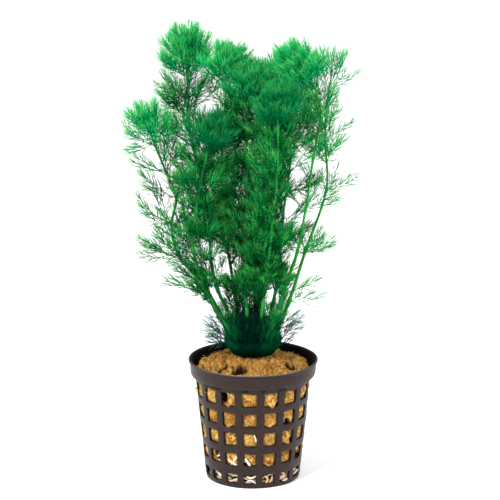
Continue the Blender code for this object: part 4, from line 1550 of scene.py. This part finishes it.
def whorl_leaves(number, route):
    """The leaves of a stem below its crown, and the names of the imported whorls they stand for."""
    points = [Vector(p[:3]) * MM for p in route]
    leafy = [k for k, p in enumerate(route[:-1]) if p[3]]
    grown, whorls = [], []
    for count, k in enumerate(leafy, 1):
        below, above = points[k] - points[k - 1], points[k + 1] - points[k]
        axis = (below.normalized() + above.normalized()).normalized()
        whorls.append(f"stem_{number:02d}_whorl_{count}")
        inner = float(inner_share(np.array(points[k])))
        low_left = points[k].z < 0.105 and points[k].x < -0.005
        fullness = 2 if inner > 0.25 or low_left else 1
        grown += grow_whorl(whorls[-1], points[k], axis, fullness, lean=0.78, shrink=0.94)
    low_ones = young_whorls(route, spacing=0.0055, lowest_height=0.064, top_gap=0.006, count=5)
    grown += [pair for pair in low_ones if pair[0].foot.z < 0.080 and not before_column(pair[0].foot)]
    upper_ones = young_whorls(route, spacing=0.0075, lowest_height=0.080, top_gap=0.004, count=11)
    if number in OPEN_STEMS:
        upper_ones = [pair for pair in upper_ones if pair[0].foot.z > OPEN_STEMS[number]]
    return grown + upper_ones, whorls


print("stems", sorted(OPEN_STEMS), "are bare between their lower whorls")

# %% The leaves of a crown
# How far in the shade of the others a crown stands, from 0 to 1
CROWN_SHADE = {3: 0.65, 5: 0.4, 6: 0.1, 7: 0.55, 8: 0.1}
# The wide crown at the top left and the thin one on the right, and how full the crowns are
WIDE_CROWN, THIN_CROWN = 1, 10
CROWN_FULLNESS = {WIDE_CROWN: 2, THIN_CROWN: 1}
USUAL_FULLNESS = 3
GOLDEN_TURN = 2.4


def crown_leaves(number, route):
    """The leaves of a stem's growing tip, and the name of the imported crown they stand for."""
    points = [Vector(p[:3]) * MM for p in route[-2:]]
    axis = Vector(CROWN_AXES.get(number, points[1] - points[0])).normalized()
    crown = f"stem_{number:02d}_crown"
    full = CROWN_FULLNESS.get(number, USUAL_FULLNESS)
    fan = 96 if number == WIDE_CROWN else 62
    grown = grow_whorl(crown, points[1], axis, full - 1, lean=0.85, shrink=0.92)
    for k in range(12 * full if number != THIN_CROWN else 5):
        heart = free_leaf(points[1] + axis * 0.0008 * (k % 9 + 2), axis, k * GOLDEN_TURN,
                          math.radians(4 + fan * own_chance.random()), 0.0150 * own_chance.uniform(0.8, 1.05))
        if fits(heart):
            grown.append((heart, own_chance.uniform(0.3, 1)))
    return grown, crown


print("a usual crown gets", 12 * USUAL_FULLNESS, "leaves in its spiral")

# %% Grow the stems' leaves
leaf_total, thread_faces = 0, 0
for number, route in enumerate(STEMS, 1):
    feathers = SPARSE_FEATHERS if number == THIN_CROWN else FEATHERS
    grown, whorls = whorl_leaves(number, route)
    sprays = rods_mesh(join_batches(grown, 0, feathers), "sprays")
    # Stems 9 and 10 on the right get the greens with painted light
    finish_piece(sprays, f"stem_{number:02d}_sprays", "whorl_leaves",
                 lit_side_leaf if number in (9, 10) else whorl_leaf, *whorls)
    grown_crown, crown = crown_leaves(number, route)
    tip = rods_mesh(join_batches(grown_crown, CROWN_SHADE.get(number, 0), feathers), "tip")
    finish_piece(tip, f"stem_{number:02d}_tip", "crown_leaves", crown_leaf, crown)
    leaf_total += len(grown) + len(grown_crown)
    thread_faces += len(sprays.data.polygons) + len(tip.data.polygons)
print(leaf_total, "leaves on the stems,", thread_faces, "faces")

# %% [markdown]
# ## The dark foot of the bunch
# Where the bunch enters the wool, old leaves are pressed together into a blue-green bowl that hides the
# feet of the stems. Its near-black colour is partly the old leaves' own and partly painted shade. As single
# leaves these would need more threads than all the rest, and only their shade would be seen. So the
# bowl's body is drawn from rings, like the pot, and pleated by noise, and only its cover is fine threads.

# %% Draw the pressed bowl
bowl_rings = [(0.0078, 0.0535), (0.0083, 0.0548), (0.0092, 0.0560), (0.0103, 0.0574), (0.0113, 0.0588),
              (0.0113, 0.0594), (0.0104, 0.0602), (0.0090, 0.0612), (0.0070, 0.0632), (0.0060, 0.0660),
              (0.0056, 0.0690), (0.0050, 0.0712), (0.0038, 0.0726), (0.0012, 0.0732)]
BOWL_RIM, RIM_DEPTH = 0.0591, 0.0024
# The height at which the bowl narrows into the dark column
COLUMN_FOOT = 0.0605
bowl = draw_rings(bowl_rings, "pressed_leaves")
close_top(bowl)
for vert in bowl.data.vertices:
    angle = math.atan2(vert.co.y, vert.co.x)
    pleat = noise.noise(Vector((math.cos(angle) * 9, math.sin(angle) * 9, vert.co.z * 60)))
    fold = noise.noise(Vector((math.cos(angle) * 30, math.sin(angle) * 30, vert.co.z * 120)))
    rim = max(0, 1 - abs(vert.co.z - BOWL_RIM) / RIM_DEPTH)
    vert.co.xy *= 0.96 + 0.09 * pleat + (0.08 + 0.16 * rim) * fold - 0.05 * rim
    vert.co.z += 0.0022 * fold * rim
    above = min(1, max(0, (vert.co.z - COLUMN_FOOT) / 0.003))
    vert.co.xy += Vector(COLUMN) * above
shade_smoothly(bowl)
pressed_leaf, tree, shader = new_material("pressed_leaf", 0.6)
shader.inputs["Specular IOR Level"].default_value = 0.1
streaks = add_blotches(tree, 900, 0.35, 0.65, (1, 1, 0.12))
# Near-black greens for the bowl and the dark column over it: partly the old leaves' own colour, partly
# painted shade
paint(tree, shader, mix_colours(tree, streaks.outputs["Mask"], picked(0, 26, 22), picked(0, 60, 48)))
add_bump(tree, shader, streaks.outputs["Raw"], 0.0008, 0.8)
finish_piece(bowl, "pressed_leaves", "tuft", pressed_leaf, "basal_tuft")

# %% [markdown]
# ### Threads on the bowl
# The bowl alone is too smooth to pass for leaves. Whole feathers would stand out from it too far, so it is
# covered with single threads: some lie over it from its foot to its rim, and others stand upright, short
# at the rim and denser in the dark column, where they are kept in shade.

# %% Upright threads
def column_shade(points):
    """The shade of threads at the foot, deepest before the dark column."""
    return np.interp(np.abs(points[..., 0] - COLUMN[0]), [0.0035, 0.0080], [0.95, 0.1])


def upright_threads(count, reach, low, high, spread, lengths, tone=(0, 1), centre=(0, 0)):
    """Threads that stand in and round the bunch's foot, leaning outwards the further out they start."""
    angle = chance.uniform(0, 2 * math.pi, count)
    radius = reach * np.sqrt(chance.uniform(0.05, 1, count))
    outward = np.stack([np.cos(angle), np.sin(angle), np.zeros(count)], axis=1)
    foot = outward * radius[:, None]
    foot[:, :2] += centre
    foot[:, 2] = chance.uniform(low, high, count)
    lean = (radius / reach * spread + chance.normal(size=count) * 0.08)[:, None]
    around = np.cross(outward, [0, 0, 1.0]) * chance.normal(size=(count, 1)) * 0.12
    way = outward * np.sin(lean) + around + np.array([0, 0, 1.0]) * np.cos(lean)
    size = chance.uniform(*lengths, (count, 1))
    bent = outward * chance.uniform(-0.05, 0.25, (count, 1))
    points = np.stack([foot + (way + bent * s) * size * s for s in (0, 0.35, 0.7, 1.0)], axis=1)
    radii = np.array([0.00016, 0.00015, 0.00012, 0.00004])[None] * chance.uniform(0.7, 1.3, (count, 1))
    tones = np.repeat(chance.uniform(*tone, (count, 1)), 4, axis=1)
    steps = np.repeat(np.array([[0.1, 0.4, 0.7, 0.9]]), count, axis=0)
    return points, radii, {"tone": tones, "reach": steps, "inner": column_shade(points)}


print("shade before the column:", float(column_shade(np.array([COLUMN]))[0]))


# %% Threads that lie on the bowl
def skirt_threads(count):
    """Short threads that lie over the bowl from its foot to its rim."""
    angle = chance.uniform(0, 2 * math.pi, count)
    start = chance.uniform(0, 0.75, count)
    end = chance.uniform(0.8, 1.0, count)
    stations = []
    for s in (0, 0.4, 0.75, 1.0):
        along = start + (end - start) * s
        radius = np.interp(along, [0, 0.3, 0.7, 1], [0.0083, 0.0097, 0.0116, 0.0120])
        height = np.interp(along, [0, 0.3, 0.7, 1], [0.0545, 0.0562, 0.0586, 0.0622])
        turn = angle + 0.10 * s * chance.normal(size=count)
        stations.append(np.stack([radius * np.cos(turn), radius * np.sin(turn), height], axis=1))
    points = np.stack(stations, axis=1) + chance.normal(size=(count, 4, 3)) * 0.00022
    radii = np.repeat(np.array([[0.00012, 0.00014, 0.00011, 0.00004]]), count, axis=0)
    tones = np.repeat(chance.uniform(0, 1, (count, 1)), 4, axis=1)
    steps = np.repeat(np.array([[0.1, 0.3, 0.5, 0.7]]), count, axis=0)
    return points, radii, {"tone": tones, "reach": steps, "inner": column_shade(points) * 0.9}


foot_threads = rods_mesh([
    upright_threads(700, reach=0.0098, low=0.0576, high=0.0625, spread=0.38, lengths=(0.006, 0.014)),
    upright_threads(800, reach=0.0118, low=0.0582, high=0.0612, spread=0.20, lengths=(0.003, 0.008)),
    upright_threads(1600, reach=0.0060, low=0.0590, high=0.0665, spread=0.06, lengths=(0.006, 0.0095),
                    tone=(0, 0.3), centre=COLUMN),
    skirt_threads(1500)], "foot")
print(len(foot_threads.data.polygons), "faces of threads at the foot")

# %% [markdown]
# ### Last leaves at the foot
# A few whole leaves finish the foot: the imported tuft lends a ring of dark ones, and on each side some
# long, faded grey-green leaves hang out over the pot. The faded ones show singly against the white, so
# they are placed one by one, each as a pair of feathers side by side.

# %% Grow the tuft
TUFT_SEAT, UP = Vector((0, 0, 0.0559)), Vector((0, 0, 1))
# The foot and the tip of each faded leaf, in mm
FADED = [((-9, -1, 60), (-20.6, -2, 70.5)), ((-9.5, 0, 60), (-21, 1, 65.5)),
         ((-9.5, -1, 59.5), (-20.5, -2, 61)), ((9, 0, 64), (21.4, 1, 71.5)),
         ((9, -1, 63.5), (21.6, -2, 67.5))]
FADED_WIDTH, FADED_ASIDE = 0.0052, 0.0012

tuft_grown = grow_whorl("basal_tuft", TUFT_SEAT, UP, 1, lean=0.7, shrink=0.85)
faded_grown = []
for foot, tip in FADED:
    foot, tip = Vector(foot) * MM, Vector(tip) * MM
    along = (tip - foot).normalized()
    across = along.cross(Vector((0, 1, 0))).normalized()
    for aside in (-across * FADED_ASIDE, across * FADED_ASIDE):
        belly = foot.lerp(tip, BELLY) + aside
        faded_grown.append((Leaf(foot, belly, tip + aside, across, along.cross(across), FADED_WIDTH), 1.0))
tuft = rods_mesh(join_batches(tuft_grown), "tuft")
finish_piece(tuft, "tuft_sprays", "tuft", tuft_leaf, "basal_tuft")
foot_leaf = make_leaf_material(
    "foot_leaf", (24, 122, 64), (28, 140, 68), (60, 158, 76), (0, 72, 44), (0, 34, 26))
finish_piece(foot_threads, "foot_threads", "tuft", foot_leaf)
finish_piece(rods_mesh(join_batches(faded_grown), "faded"), "faded_sprays", "tuft", faded_leaf)
